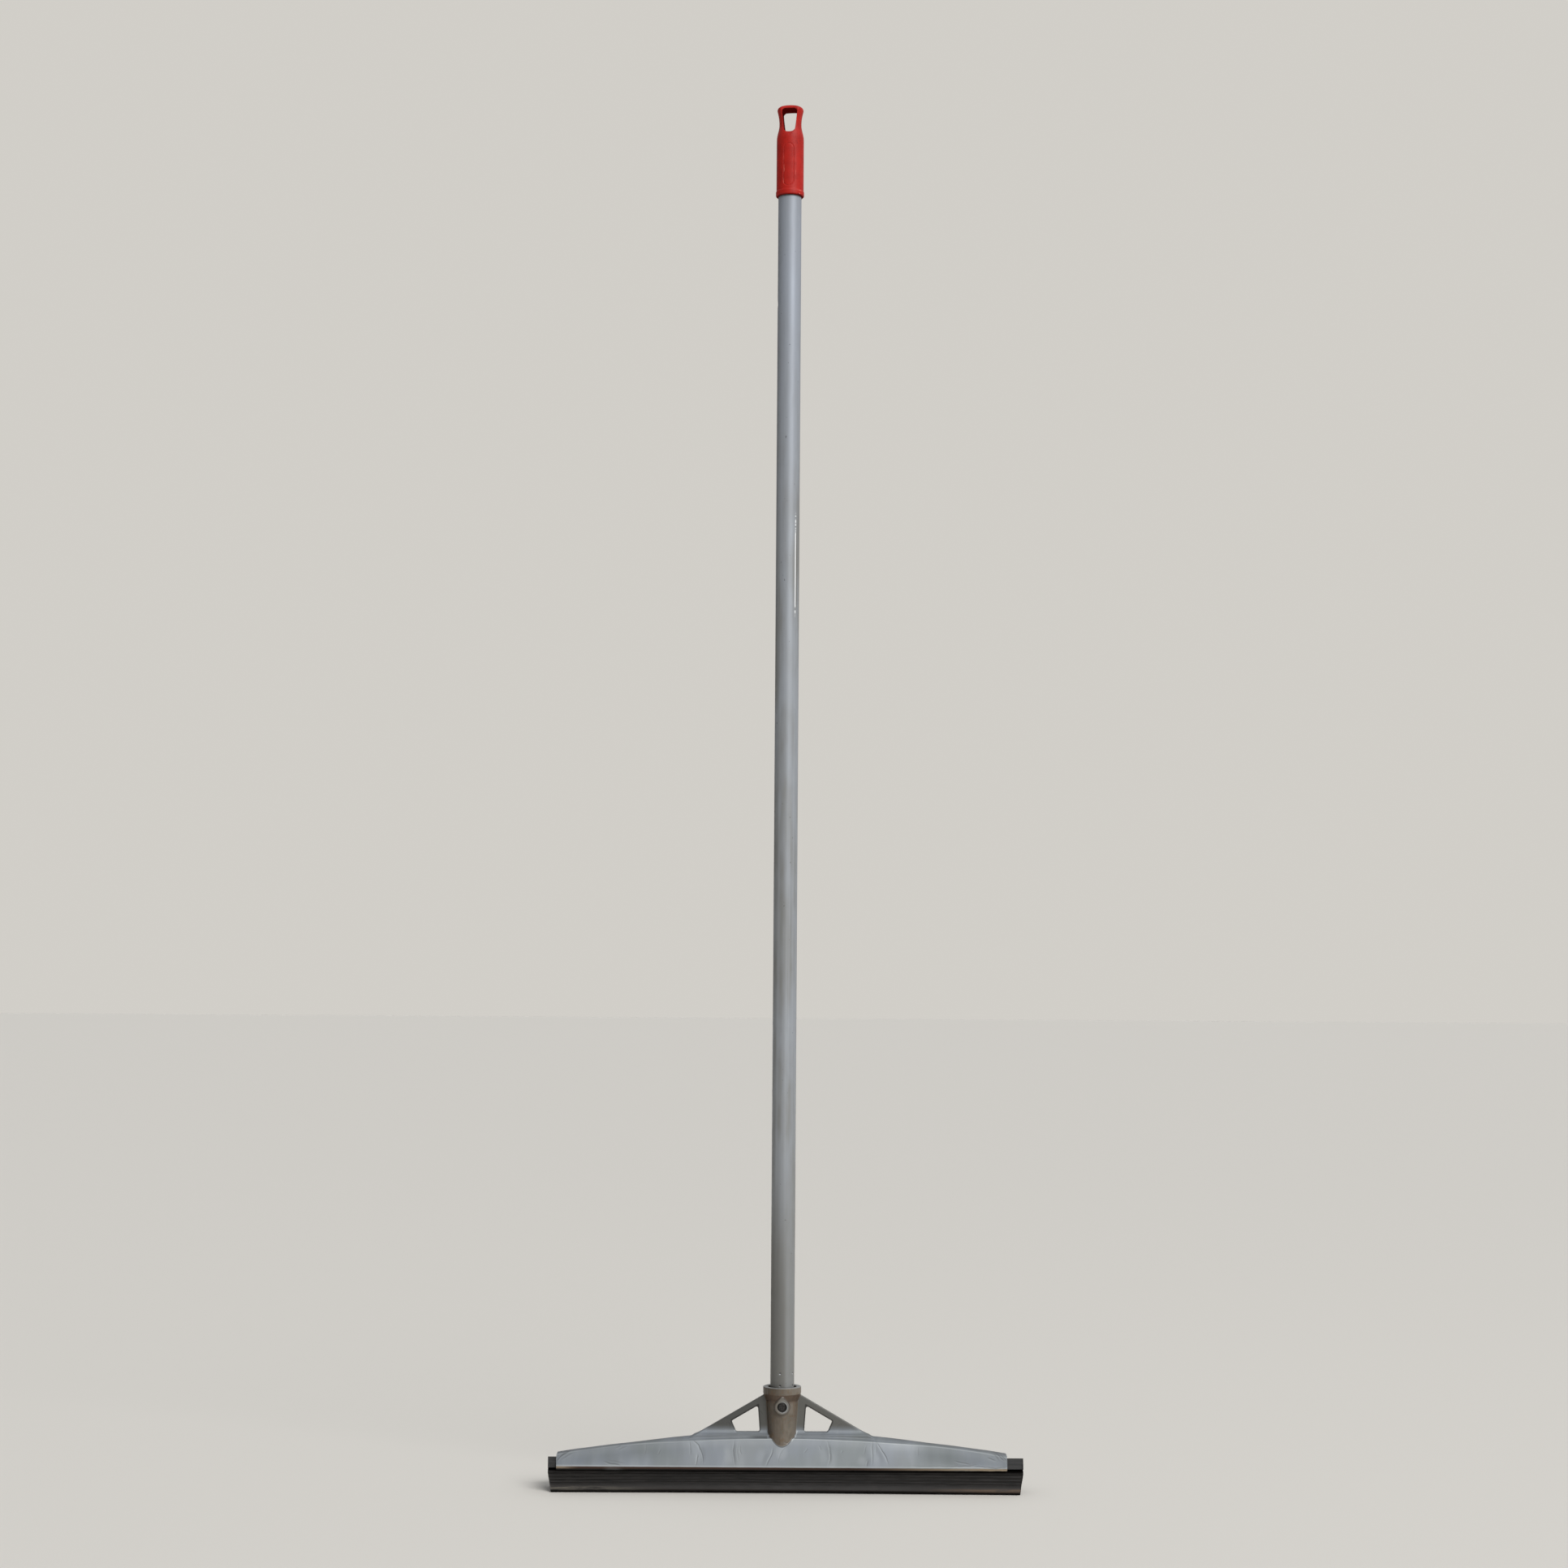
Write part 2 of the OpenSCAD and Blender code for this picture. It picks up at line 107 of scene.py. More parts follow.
def mixedValue(tree, factor, first, second):
    node = tree.nodes.new("ShaderNodeMix")
    for name, value in (("Factor", factor), ("A", first), ("B", second)):
        feed(tree, node.inputs[name], value)
    return node.outputs[0]


def layered(tree, colour, *layers):  # each layer is a mask and the tone that it lays over what came before
    for mask, tone in layers:
        colour = mixed(tree, mask, colour, tone)
    return colour


def stretched(tree, vector, scale):
    node = tree.nodes.new("ShaderNodeVectorMath")
    node.operation = "MULTIPLY"
    feed(tree, node.inputs[0], vector)
    node.inputs[1].default_value = scale
    return node.outputs[0]


def noiseOf(tree, vector, scale, detail=3.0, roughness=0.5, distortion=0.0):
    node = tree.nodes.new("ShaderNodeTexNoise")
    feed(tree, node.inputs["Vector"], vector)
    node.inputs["Scale"].default_value = scale
    node.inputs["Detail"].default_value = detail
    node.inputs["Roughness"].default_value = roughness
    node.inputs["Distortion"].default_value = distortion
    return node.outputs["Fac"]


def millimetres(tree):  # object coordinates in millimetres, whole and apart
    coords = tree.nodes.new("ShaderNodeTexCoord")
    place = stretched(tree, coords.outputs["Object"], (1000, 1000, 1000))
    parts = tree.nodes.new("ShaderNodeSeparateXYZ")
    feed(tree, parts.inputs[0], place)
    return place, parts.outputs["X"], parts.outputs["Y"], parts.outputs["Z"]


def surface(tree):  # how sharp the edge is here, and the Y and Z of the way the surface faces
    geometry = tree.nodes.new("ShaderNodeNewGeometry")
    facing = tree.nodes.new("ShaderNodeSeparateXYZ")
    feed(tree, facing.inputs[0], geometry.outputs["Normal"])
    return geometry.outputs["Pointiness"], facing.outputs["Y"], facing.outputs["Z"]


def newMaterial(name, **values):  # values that are the same all over go on the shader's own sockets
    material = bpy.data.materials.new(name)
    material.use_nodes = True
    tree = material.node_tree
    shader = tree.nodes["Principled BSDF"]
    for key, value in values.items():
        shader.inputs[key].default_value = value
    return material, tree, shader


def finishShader(tree, shader, colour, roughness, height, distance, strength):
    feed(tree, shader.inputs["Base Color"], colour)
    feed(tree, shader.inputs["Roughness"], roughness)
    bump = tree.nodes.new("ShaderNodeBump")
    bump.inputs["Strength"].default_value = strength
    bump.inputs["Distance"].default_value = distance * mm
    feed(tree, bump.inputs["Height"], height)
    feed(tree, shader.inputs["Normal"], bump.outputs[0])


# camera, floor and light
view = {"place": (-2.0, -2557.0, 469.5), "pitch": 4.07, "roll": 0.38, "lens": 62.8}
studio = {
    "floorColour": srgb(218, 215, 209),
    "backdrop": (0.64, 0.62, 0.58, 1),
    # the room's colour by height, where 0 is straight down, 0.5 is level and 1 is straight up
    "room": [
        (0.44, (0.20, 0.18, 0.16, 1)), (0.5, (0.22, 0.21, 0.20, 1)),
        (0.6, (0.22, 0.21, 0.20, 1)), (0.8, (0.52, 0.53, 0.54, 1)),
    ],
    "sideways": 0.6,  # how much lighter the room is on the right than in the middle
    "sun": (2.3, (0.55, -0.85, 0.78), 40),  # a broad far light from the right: strength, origin and angle
    "lamp": (5, (1.3, -1.7, 2.2), (0, 0, 1.0), 1.2),  # lifts the upper end: strength, place, aim and width
    "lightColour": (1, 0.99, 0.975),
}


def makeCamera():
    data = bpy.data.cameras.new("camera")
    data.lens = view["lens"]
    data.sensor_width = 36
    data.clip_end = 60
    camera = bpy.data.objects.new("camera", data)
    scene.collection.objects.link(camera)
    tilt = Matrix.Rotation(math.radians(90 + view["pitch"]), 4, "X")
    roll = Matrix.Rotation(math.radians(view["roll"]), 4, "Z")
    camera.matrix_world = Matrix.Translation(Vector(view["place"]) * mm) @ tilt @ roll
    scene.camera = camera


def makeLight(name, kind, power, place, aim, width):
    data = bpy.data.lights.new(name, kind)
    data.energy = power
    data.color = studio["lightColour"]
    if kind == "SUN":
        data.angle = math.radians(width)
    else:
        data.size = width
    lamp = bpy.data.objects.new(name, data)
    lamp.location = place
    lamp.rotation_euler = (Vector(aim) - Vector(place)).to_track_quat("-Z", "Y").to_euler()
    scene.collection.objects.link(lamp)


def makeWorld():
    world = bpy.data.worlds.new("studio")
    scene.world = world
    world.use_nodes = True
    tree = world.node_tree
    coords = tree.nodes.new("ShaderNodeTexCoord")
    parts = tree.nodes.new("ShaderNodeSeparateXYZ")
    feed(tree, parts.inputs[0], coords.outputs["Generated"])
    ramp = tree.nodes.new("ShaderNodeValToRGB")
    feed(tree, ramp.inputs[0], ranged(tree, parts.outputs["Z"], -1, 1, soft=False))
    while len(ramp.color_ramp.elements) < len(studio["room"]):
        ramp.color_ramp.elements.new(0.5)
    for element, (place, colour) in zip(ramp.color_ramp.elements, studio["room"]):
        element.position = place
        element.color = colour
    room = tree.nodes.new("ShaderNodeVectorMath")
    room.operation = "SCALE"
    feed(tree, room.inputs[0], ramp.outputs[0])
    feed(tree, room.inputs["Scale"], calc(tree, "MULTIPLY_ADD", parts.outputs["X"], studio["sideways"], 1.0))
    # the camera sees a plain pale wall in place of the room
    rays = tree.nodes.new("ShaderNodeLightPath")
    seen = mixed(tree, rays.outputs["Is Camera Ray"], room.outputs[0], studio["backdrop"])
    feed(tree, tree.nodes["Background"].inputs["Color"], seen)


def makeFloor():
    bpy.ops.mesh.primitive_plane_add(size=60, location=(0, 0, -0.0002))
    floor = bpy.context.object
    floor.name = "floor"
    material, _, shader = newMaterial("paleFloor", Roughness=0.7)
    shader.inputs["Base Color"].default_value = studio["floorColour"]
    shader.inputs["Specular IOR Level"].default_value = 0.2
    floor.data.materials.append(material)


makeCamera()
makeWorld()
makeFloor()
sunPower, sunPlace, sunAngle = studio["sun"]
makeLight("sun", "SUN", sunPower, sunPlace, (0, 0, 0), sunAngle)
makeLight("lamp", "AREA", *studio["lamp"])
print("camera, floor and light are set")


# building of meshes
def boxOf(node):  # low and high corner of a solid in millimetres
    return [[c / mm for c in corner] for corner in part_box(node)]


def meshPiece(name, points, faces):
    mesh = bpy.data.meshes.new(name)
    mesh.from_pydata(points, [], faces)
    mesh.update()
    for face in mesh.polygons:
        face.use_smooth = True
    piece = bpy.data.objects.new(name, mesh)
    scene.collection.objects.link(piece)
    return piece


def gridFaces(rows, columns):  # quads between rows of points, each row closed on itself
    faces = []
    for r in range(rows - 1):
        for c in range(columns):
            here, following = r * columns + c, r * columns + (c + 1) % columns
            faces.append((here, following, following + columns, here + columns))
    return faces


def clamped(value):
    return min(1.0, max(0.0, value))


def eased(value, low, high):  # 0 below low, 1 above high, and a soft step between them
    t = clamped((value - low) / (high - low))
    return t * t * (3 - 2 * t)


def addSmoothing(piece, passes):
    soft = piece.modifiers.new("soft", "SMOOTH")
    soft.factor = 0.5
    soft.iterations = passes
    return soft


def applyModifiers(piece):
    shaped = piece.evaluated_get(bpy.context.evaluated_depsgraph_get())
    mesh = bpy.data.meshes.new_from_object(shaped)
    piece.modifiers.clear()
    piece.vertex_groups.clear()
    piece.data = mesh


def mouldedCopy(node, name, settings, shape=None):
    # the solid's own shape, with the small soft edges that a moulding has
    mesh = nodes[node].data.copy()
    mesh.materials.clear()
    weld = bmesh.new()
    weld.from_mesh(mesh)
    bmesh.ops.remove_doubles(weld, verts=weld.verts, dist=1e-6)
    weld.to_mesh(mesh)
    weld.free()
    piece = bpy.data.objects.new(name, mesh)
    scene.collection.objects.link(piece)
    fine = piece.modifiers.new("fine", "REMESH")
    fine.mode = "VOXEL"
    fine.voxel_size = settings["voxel"] * mm
    addSmoothing(piece, settings["passes"])
    applyModifiers(piece)
    if shape:
        shape(piece)
    thin = piece.modifiers.new("thin", "DECIMATE")
    thin.ratio = settings["keep"]
    applyModifiers(piece)
    for face in piece.data.polygons:
        face.use_smooth = True
    print(name, sum(len(face.vertices) - 2 for face in piece.data.polygons), "triangles")
    return piece


def finishPiece(piece, material, body, node):
    piece.data.materials.clear()
    piece.data.materials.append(material)
    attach(piece, body)
    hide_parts(node)


# the moulded head: socket, web, roof and skirts
head = {
    "voxel": 0.4, "passes": 2, "keep": 0.145,
    "colour": srgb(118, 123, 127), "cool": srgb(119, 125, 132), "green": srgb(112, 118, 119),
    # in the next line: a pale tone for painted highlights and the pale sides of flow lines, a near-black for
    # painted shadows and a dull tone for painted shade on the upright web
    "paleMarksAndHighlights": srgb(166, 171, 173), "line": srgb(50, 52, 53), "gap": srgb(12, 9, 7), "web": srgb(88, 87, 82),
    # the darker socket tone in the next line is painted shade on the socket and the boss
    "socket": srgb(112, 104, 94), "socketShade": srgb(76, 65, 54), "collar": srgb(114, 107, 97),
    # the brown band tone in the next line is painted shade under the collar
    "olive": srgb(93, 92, 83), "rust": srgb(102, 80, 58), "underCollarShade": srgb(80, 59, 43),
    "boss": srgb(114, 112, 107), "under": srgb(66, 44, 33), "underPale": srgb(176, 160, 138),
    "webTop": 55.5, "knee": 24.1, "coneLow": 82.3, "collarLow": 88.4, "rimLow": 94.2,
    # radius of the socket at its foot, its cone and its collar: in the solid, and as the tones are laid by it
    "wall": (12.4, 13.5, 17.6), "wallRise": (48, 82), "toneWall": (12.45, 13.6, 17.6), "toneLow": 42,
    "flare": (0.02, 0.09), "flareRise": (52, 80), "flareStart": (44, 54), "flareEnd": (82, 88.4),
    "screwHeight": 77.5, "screwEdge": 4.85,
    "bossFace": 16.7, "bossLow": (60.0, 64.0), "bossTop": (87.0, 87.6),
    "bossFlank": 40,  # degrees from upright to the straight sides of the boss's point
    # upper lines of the skirts and the roof: height in the middle, drop to the ends and fall to the sides
    "halfLength": 206, "eaves": (48.15, 13.76), "ridge": (52.0, 18.4), "roof": (51.5, 11.1, 0.364),
    # where each change towards the ends begins and is complete, from the middle outwards, and how far it goes
    "sinks": (80, 87), "slims": (85, 150), "curls": (150, 206), "dips": (140, 206), "standsUp": (172, 205),
    "slimBy": 0.5, "curlBy": 0.12, "lowerBy": 0.75, "standBy": 0.36,
    "roll": 0.0025,  # the head stands a trace askew
    # flow lines on the front: from x, z to x, z in millimetres, how far they bow, and how strong they are
    "lines": [
        (-42.6, 48, -41.2, 24, -2.2, 0.7), (-39.8, 46, -38.6, 27, -1.4, 0.4),
        (-38.4, 43, -36.6, 34, -0.6, 0.5), (-7.6, 42, -14.2, 24, 0.6, 0.9), (5.6, 42, -3.6, 27, -2.2, 0.35),
        (23.9, 41, 20.7, 36, 0.3, 0.5), (34.9, 43, 36.7, 39, 0.2, 0.5), (41.3, 48, 42.8, 24.5, 2.4, 0.8),
        (43.8, 47, 44.6, 26, 0.9, 0.4), (56.6, 39, 55.4, 36, 0.2, 0.5), (77.6, 44, 75.4, 35, 0.8, 0.4),
        (83.0, 48, 82.6, 25, 0.3, 0.7), (85.6, 48, 86.4, 33, 0.6, 0.4), (85.5, 47.0, 97.8, 26, 1.7, 1.0),
        (87.5, 45, 93.5, 35, 0.8, 0.4), (79.0, 31, 78.0, 25, -0.8, 0.7), (-84.4, 46.6, -82.8, 33, 0.3, 0.6),
        (-82.4, 46.8, -74.0, 36, 2.0, 0.9), (-80.2, 46.6, -71.6, 25, 3.0, 0.8),
        (-76.4, 36, -79.0, 24.5, 0.7, 0.9), (-124.6, 43, -125.5, 33, 0.5, 0.3),
        (-111, 39, -113.6, 34, 0.4, 0.5), (-207.0, 26.6, -193.6, 35.6, 1.4, 1.0),
        (-202, 28.6, -190, 34.6, 0.8, 0.4), (-164, 29, -146, 25.6, -0.9, 0.8),
        (-160, 30.4, -142, 27, -0.6, 0.3), (188, 33.0, 196.8, 30.6, 0.3, 0.8),
        (193.8, 35.2, 199.4, 31.2, 0.3, 0.5), (195.5, 35.6, 205.2, 30.0, 0.3, 0.8),
        (200, 34.9, 207.5, 29.6, 0.2, 0.7), (157, 30.8, 173, 28.2, -0.3, 0.8),
        (150, 26.6, 180, 27.8, -1.0, 0.8), (112, 26.3, 180, 26.2, 0.2, 0.4),
        (174, 26.2, 209, 25.6, -0.5, 1.0), (126, 42, 125, 33, -0.4, 0.35),
        (-205.2, 38, -205.6, 24.5, 0.2, 0.5), (206.4, 33, 206.0, 25.5, -0.2, 0.4),
        (-150, 37, -142, 40.5, 0.4, 0.4), (-153, 38.4, -147, 40.6, 0.2, 0.4),
        (-53, 62, -49, 54.6, 3.4, 0.7), (-45.4, 62, -45.8, 55, -3.0, 0.5), (57, 61, 50, 55.6, -1.6, 0.4),
        (-10.5, 89, -8.9, 77, -0.8, 0.8), (-4.6, 92, -4.4, 84, 0.6, 0.5), (1.5, 45.5, 6.5, 43.4, 0.8, 0.6),
        (-25, 76, -16, 68, 0.4, 0.6), (-29.4, 81.4, -29.6, 78, 0.1, 0.5),
    ],
    # painted shade and painted highlight of wide soft folds under some of them
    "foldShading": [
        (-43, 46, -41, 24, -1.8, 0.9), (-75, 46, -73, 25, 2.4, 0.8), (84, 47, 93, 25, 1.2, 0.8),
        (80, 34, 78, 24, -0.6, 0.7), (-12, 40, -18, 24, 0.6, 0.5), (40, 46, 43, 25, 1.6, 0.6),
        (-164, 29.5, -142, 25.6, -0.9, 0.6), (150, 28.0, 182, 28.2, -1.0, 0.6),
        (192, 36, 207, 29, 0.4, 0.7), (-207, 27, -192, 36, 1.4, 0.6),
    ],
    # painted shadows along the edges of the right window: under the strut, beside the socket and at its outer
    # end
    "edges": [
        (21.2, 78.2, 47.0, 63.3, 0, 1), (22.0, 78.0, 20.2, 54.4, 0, 1), (46.8, 63.2, 43.2, 55.0, 0, 0.7),
    ],
}


def shapeEnds(piece):
    # towards the ends the roof narrows and the skirts curl in over it, and the end edges stand upright
    for vertex in piece.data.vertices:
        x, y, z = vertex.co / mm
        far = abs(x)
        share = (far / head["halfLength"]) ** 2
        eaves, ridge, roof = [head[line][0] - head[line][1] * share for line in ("eaves", "ridge", "roof")]
        # the foot of the web sinks into the roof at its ends
        roof = min(ridge, roof - head["roof"][2] * abs(y))
        if z > roof and far > head["sinks"][0]:
            z = roof + (z - roof) * (1 - eased(far, *head["sinks"]))
        top = min(eaves, ridge)
        rise = clamped((z - head["knee"]) / (top - head["knee"]))
        slim = eased(far, *head["slims"])
        y *= 1 - (head["slimBy"] * slim + head["curlBy"] * eased(far, *head["curls"])) * rise * rise
        if z > top:
            z = top + (z - top) * (1 - head["lowerBy"] * slim)
        x += math.copysign(head["standBy"] * max(0.0, z - head["knee"]) * eased(far, *head["standsUp"]), x)
        z -= eased(far, *head["dips"]) * rise
        x, y = flared(x, y, z)
        vertex.co = Vector((x, y, z + head["roll"] * x)) * mm
    piece.data.update()


def flared(x, y, z):  # the socket widens a little up to its cone
    foot, cone, collar = head["wall"]
    low, high = head["wallRise"]
    wall = foot + (cone - foot) * clamped((z - low) / (high - low))
    wall += (collar - cone) * clamped((z - head["coneLow"]) / (head["collarLow"] - head["coneLow"]))
    onWall = 1 - eased(abs(math.hypot(x, y) - wall), 0.8, 2.0)
    least, most = head["flare"]
    amount = least + (most - least) * eased(z, *head["flareRise"])
    flare = 1 + onWall * amount * (eased(z, *head["flareStart"]) - eased(z, *head["flareEnd"]))
    return x * flare, y * flare


def flowLineGroup():  # one curved line in X and Z: how dark it is here, and how bright its rim is
    group = bpy.data.node_groups.new("flowLine", "ShaderNodeTree")
    for name in ("Place", "Start", "Along", "Across"):
        group.interface.new_socket(name=name, in_out="INPUT", socket_type="NodeSocketVector")
    for name in ("Wobble", "Bow", "Strength", "Width", "Solid"):
        group.interface.new_socket(name=name, in_out="INPUT", socket_type="NodeSocketFloat")
    for name in ("Dark", "Rim"):
        group.interface.new_socket(name=name, in_out="OUTPUT", socket_type="NodeSocketFloat")
    given = group.nodes.new("NodeGroupInput").outputs
    result = group.nodes.new("NodeGroupOutput").inputs

    def vectorMath(operation, first, second, output):
        node = group.nodes.new("ShaderNodeVectorMath")
        node.operation = operation
        feed(group, node.inputs[0], first)
        feed(group, node.inputs[1], second)
        return node.outputs[output]

    offset = vectorMath("SUBTRACT", given["Place"], given["Start"], "Vector")
    along = vectorMath("DOT_PRODUCT", offset, given["Along"], "Value")
    across = vectorMath("DOT_PRODUCT", offset, given["Across"], "Value")
    hump = times(group, calc(group, "SUBTRACT", along, times(group, along, along)), 4.0)
    away = calc(group, "SUBTRACT", across, times(group, hump, given["Bow"]))
    away = calc(group, "DIVIDE", calc(group, "ADD", away, given["Wobble"]), given["Width"])
    fromMiddle = calc(group, "ABSOLUTE", calc(group, "SUBTRACT", along, 0.5))
    fade = times(group, ranged(group, fromMiddle, given["Solid"], 0.52, 1.0, 0.0), given["Strength"])
    dark = ranged(group, calc(group, "ABSOLUTE", away), 0.05, 0.5, 1.0, 0.0)
    rim = ranged(group, calc(group, "ABSOLUTE", calc(group, "ADD", away, 0.75)), 0.1, 0.8, 1.0, 0.0)
    feed(group, result["Dark"], times(group, dark, fade))
    feed(group, result["Rim"], times(group, rim, fade))
    return group


def flowLines(tree, place, wobble, lines, width, solid):
    group = bpy.data.node_groups.get("flowLine") or flowLineGroup()
    dark = rim = 0.0
    for x1, z1, x2, z2, bow, strength in lines:
        node = tree.nodes.new("ShaderNodeGroup")
        node.node_tree = group
        run = Vector((x2 - x1, 0, z2 - z1))
        given = {
            "Place": place, "Wobble": wobble, "Start": (x1, 0, z1), "Along": run / run.length_squared,
            "Across": Vector((-run.z, 0, run.x)).normalized(), "Bow": bow, "Strength": strength,
            "Width": width, "Solid": solid,
        }
        for name, value in given.items():
            feed(tree, node.inputs[name], value)
        dark = calc(tree, "MAXIMUM", dark, node.outputs["Dark"])
        rim = calc(tree, "MAXIMUM", rim, node.outputs["Rim"])
    return dark, rim


def headPlaces(tree):  # what the tones of the head are laid by
    at = SimpleNamespace()
    at.place, at.x, at.y, at.z = millimetres(tree)
    at.farX = calc(tree, "ABSOLUTE", at.x)
    at.farY = calc(tree, "ABSOLUTE", at.y)
    at.squareX = times(tree, at.x, at.x)
    # the back is the front turned half round, so that its lines aren't a mirror image
    at.across = times(tree, at.x, times(tree, calc(tree, "SIGN", at.y), -1.0))
    turned = tree.nodes.new("ShaderNodeCombineXYZ")
    feed(tree, turned.inputs["X"], at.across)
    feed(tree, turned.inputs["Z"], at.z)
    at.turned = turned.outputs[0]
    at.edge, _, at.facingUp = surface(tree)
    at.cloud = noiseOf(tree, stretched(tree, at.place, (1, 1, 0.3)), 0.035, 3, 0.5)
    at.streak = noiseOf(tree, stretched(tree, at.place, (1, 1, 0.6)), 0.13, 3, 0.55)
    at.wobble = times(tree, calc(tree, "SUBTRACT", noiseOf(tree, at.place, 0.09, 2, 0.5), 0.5), 3.0)
    # depth below the upper edge of the skirts
    share = calc(tree, "DIVIDE", at.x, head["halfLength"])
    share = times(tree, share, share)
    falls = [calc(tree, "SUBTRACT", height, times(tree, share, drop))
             for height, drop in (head["eaves"], head["ridge"])]
    top = calc(tree, "SUBTRACT", calc(tree, "MINIMUM", *falls), ranged(tree, at.farX, *head["dips"]))
    at.below = calc(tree, "SUBTRACT", top, at.z)
    # distance outside the socket's wall
    foot, cone, collar = head["toneWall"]
    wall = ranged(tree, at.z, head["toneLow"], head["coneLow"], foot, cone, soft=False)
    funnel = ranged(tree, at.z, head["coneLow"], head["collarLow"], 0, collar - cone, soft=False)
    widened = calc(tree, "SUBTRACT", ranged(tree, at.z, *head["flareStart"]),
                   ranged(tree, at.z, *head["flareEnd"]))
    flare = times(tree, ranged(tree, at.z, *head["flareRise"], *head["flare"]), widened)
    wall = times(tree, calc(tree, "ADD", wall, funnel), calc(tree, "ADD", flare, 1.0))
    radius = calc(tree, "SQRT", calc(tree, "ADD", at.squareX, times(tree, at.y, at.y)))
    at.outside = calc(tree, "SUBTRACT", radius, wall)
    at.aboveFoot = ranged(tree, at.z, 38.0, 40.0)
    at.socket = times(tree, ranged(tree, at.outside, 0.1, 0.4, 1.0, 0.0), at.aboveFoot)
    return at


def skirtTone(tree, at):
    tint = noiseOf(tree, stretched(tree, at.place, (1, 1, 0.4)), 0.022, 2, 0.5)
    bands = noiseOf(tree, stretched(tree, at.place, (1, 0.1, 0.3)), 0.07, 2, 0.5)
    outer = ranged(tree, at.farY, 5.0, 7.0)
    rise = calc(tree, "ABSOLUTE", calc(tree, "SUBTRACT", at.z, 37.0))
    middle = calc(tree, "ADD", times(tree, at.squareX, 1 / 36), times(tree, rise, rise, 1 / 60))
    # painted highlights: a little paler under the upper edge and in the middle, with a crisp pale line along
    # both edges
    return layered(
        tree, mixed(tree, ranged(tree, at.cloud, 0.35, 0.65), head["colour"], head["cool"]),
        (ranged(tree, tint, 0.5, 0.7, 0.0, 0.7), head["green"]),
        (times(tree, outer, ranged(tree, at.below, 8.0, 1.0, 0.0, 0.18)), head["paleMarksAndHighlights"]),
        (ranged(tree, bands, 0.5, 0.75, 0.0, 0.14), head["paleMarksAndHighlights"]),
        (ranged(tree, bands, 0.5, 0.3, 0.0, 0.08), head["line"]),
        (times(tree, outer, near(tree, at.below, 0.35, 0.15, 0.6, 0.55)), head["paleMarksAndHighlights"]),
        (near(tree, at.z, head["knee"] + 0.7, 0.2, 0.8, 0.45), head["paleMarksAndHighlights"]),
        (ranged(tree, middle, 0.0, 1.2, 0.22, 0.0), head["paleMarksAndHighlights"]),
    )


def webTone(tree, at, colour):  # painted shade: the upright web is duller and darker than the skirts, and darker still left of the socket, with a little painted shade on the roof strip below it
    web = times(tree, ranged(tree, at.farY, 3.0, 5.0, 1.0, 0.0),
                ranged(tree, at.z, head["webTop"] - 2.0, head["webTop"] + 5.0))
    roof = times(tree, ranged(tree, at.below, 0.2, -0.4), ranged(tree, at.z, 51.8, 52.4, 1.0, 0.0))
    return layered(
        tree, colour,
        (times(tree, web, 0.9), head["web"]),
        (times(tree, web, ranged(tree, at.across, -8.0, -28.0, 0.0, 0.48)), head["line"]),
        (times(tree, roof, 0.1), head["line"]),
    )


def brownTone(tree, at):  # the socket is brown, with painted shade on the left of it and of its collar, and a band of painted shade under its collar
    shade = calc(tree, "ADD", ranged(tree, at.across, -13, 7, 0.75, 0.0),
                 ranged(tree, at.streak, 0.35, 0.7, -0.15, 0.3))
    collarShade = calc(tree, "ADD", ranged(tree, at.across, -14, 16, 0.9, 0.0),
                       ranged(tree, at.streak, 0.35, 0.7, -0.1, 0.2))
    collarTone = mixed(tree, collarShade, head["collar"], head["socketShade"])
    rust = noiseOf(tree, stretched(tree, at.place, (1, 1, 0.7)), 0.11, 4, 0.6, 1.0)
    underCollarShade = times(tree, ranged(tree, at.z, head["coneLow"] - 3.5, head["coneLow"] + 1),
                 ranged(tree, at.z, head["collarLow"] - 0.5, head["collarLow"] + 0.3, 1.0, 0.0))
    return layered(
        tree, mixed(tree, shade, head["socket"], head["socketShade"]),
        (ranged(tree, at.z, head["collarLow"] - 0.4, head["collarLow"] + 0.4), collarTone),
        (ranged(tree, at.streak, 0.5, 0.64, 0.0, 0.5), head["olive"]),
        (ranged(tree, rust, 0.5, 0.66, 0.0, 0.5), head["rust"]),
        (times(tree, underCollarShade, 0.66), head["underCollarShade"]),
    )


def socketTone(tree, at, colour):  # with a painted highlight as a pale halo and a painted shadow as a dark outline where the socket leaves the skirts
    foot = times(tree, ranged(tree, at.z, 53.5, 55.0, 1.0, 0.0), at.aboveFoot)
    halo = times(tree, ranged(tree, at.across, 2.0, 6.0), ranged(tree, at.z, 45.0, 47.0), foot)
    sloped = ranged(tree, at.facingUp, 0.15, 0.35)
    besideFoot = times(tree, ranged(tree, at.across, -34.0, -22.0), ranged(tree, at.across, -13.0, -14.0),
                       ranged(tree, at.z, 50.6, 50.2), ranged(tree, at.below, 0.3, -0.3))
    return layered(
        tree, colour,
        (times(tree, near(tree, at.outside, 1.2, 0.2, 0.7, 0.8), halo), head["paleMarksAndHighlights"]),
        (at.socket, brownTone(tree, at)),
        (times(tree, near(tree, at.outside, 0.5, 0.1, 0.4, 0.8), foot, sloped), head["line"]),
        # painted shadow on the roof beside the socket's foot, on its left
        (times(tree, besideFoot, 0.5), head["line"]),
    )


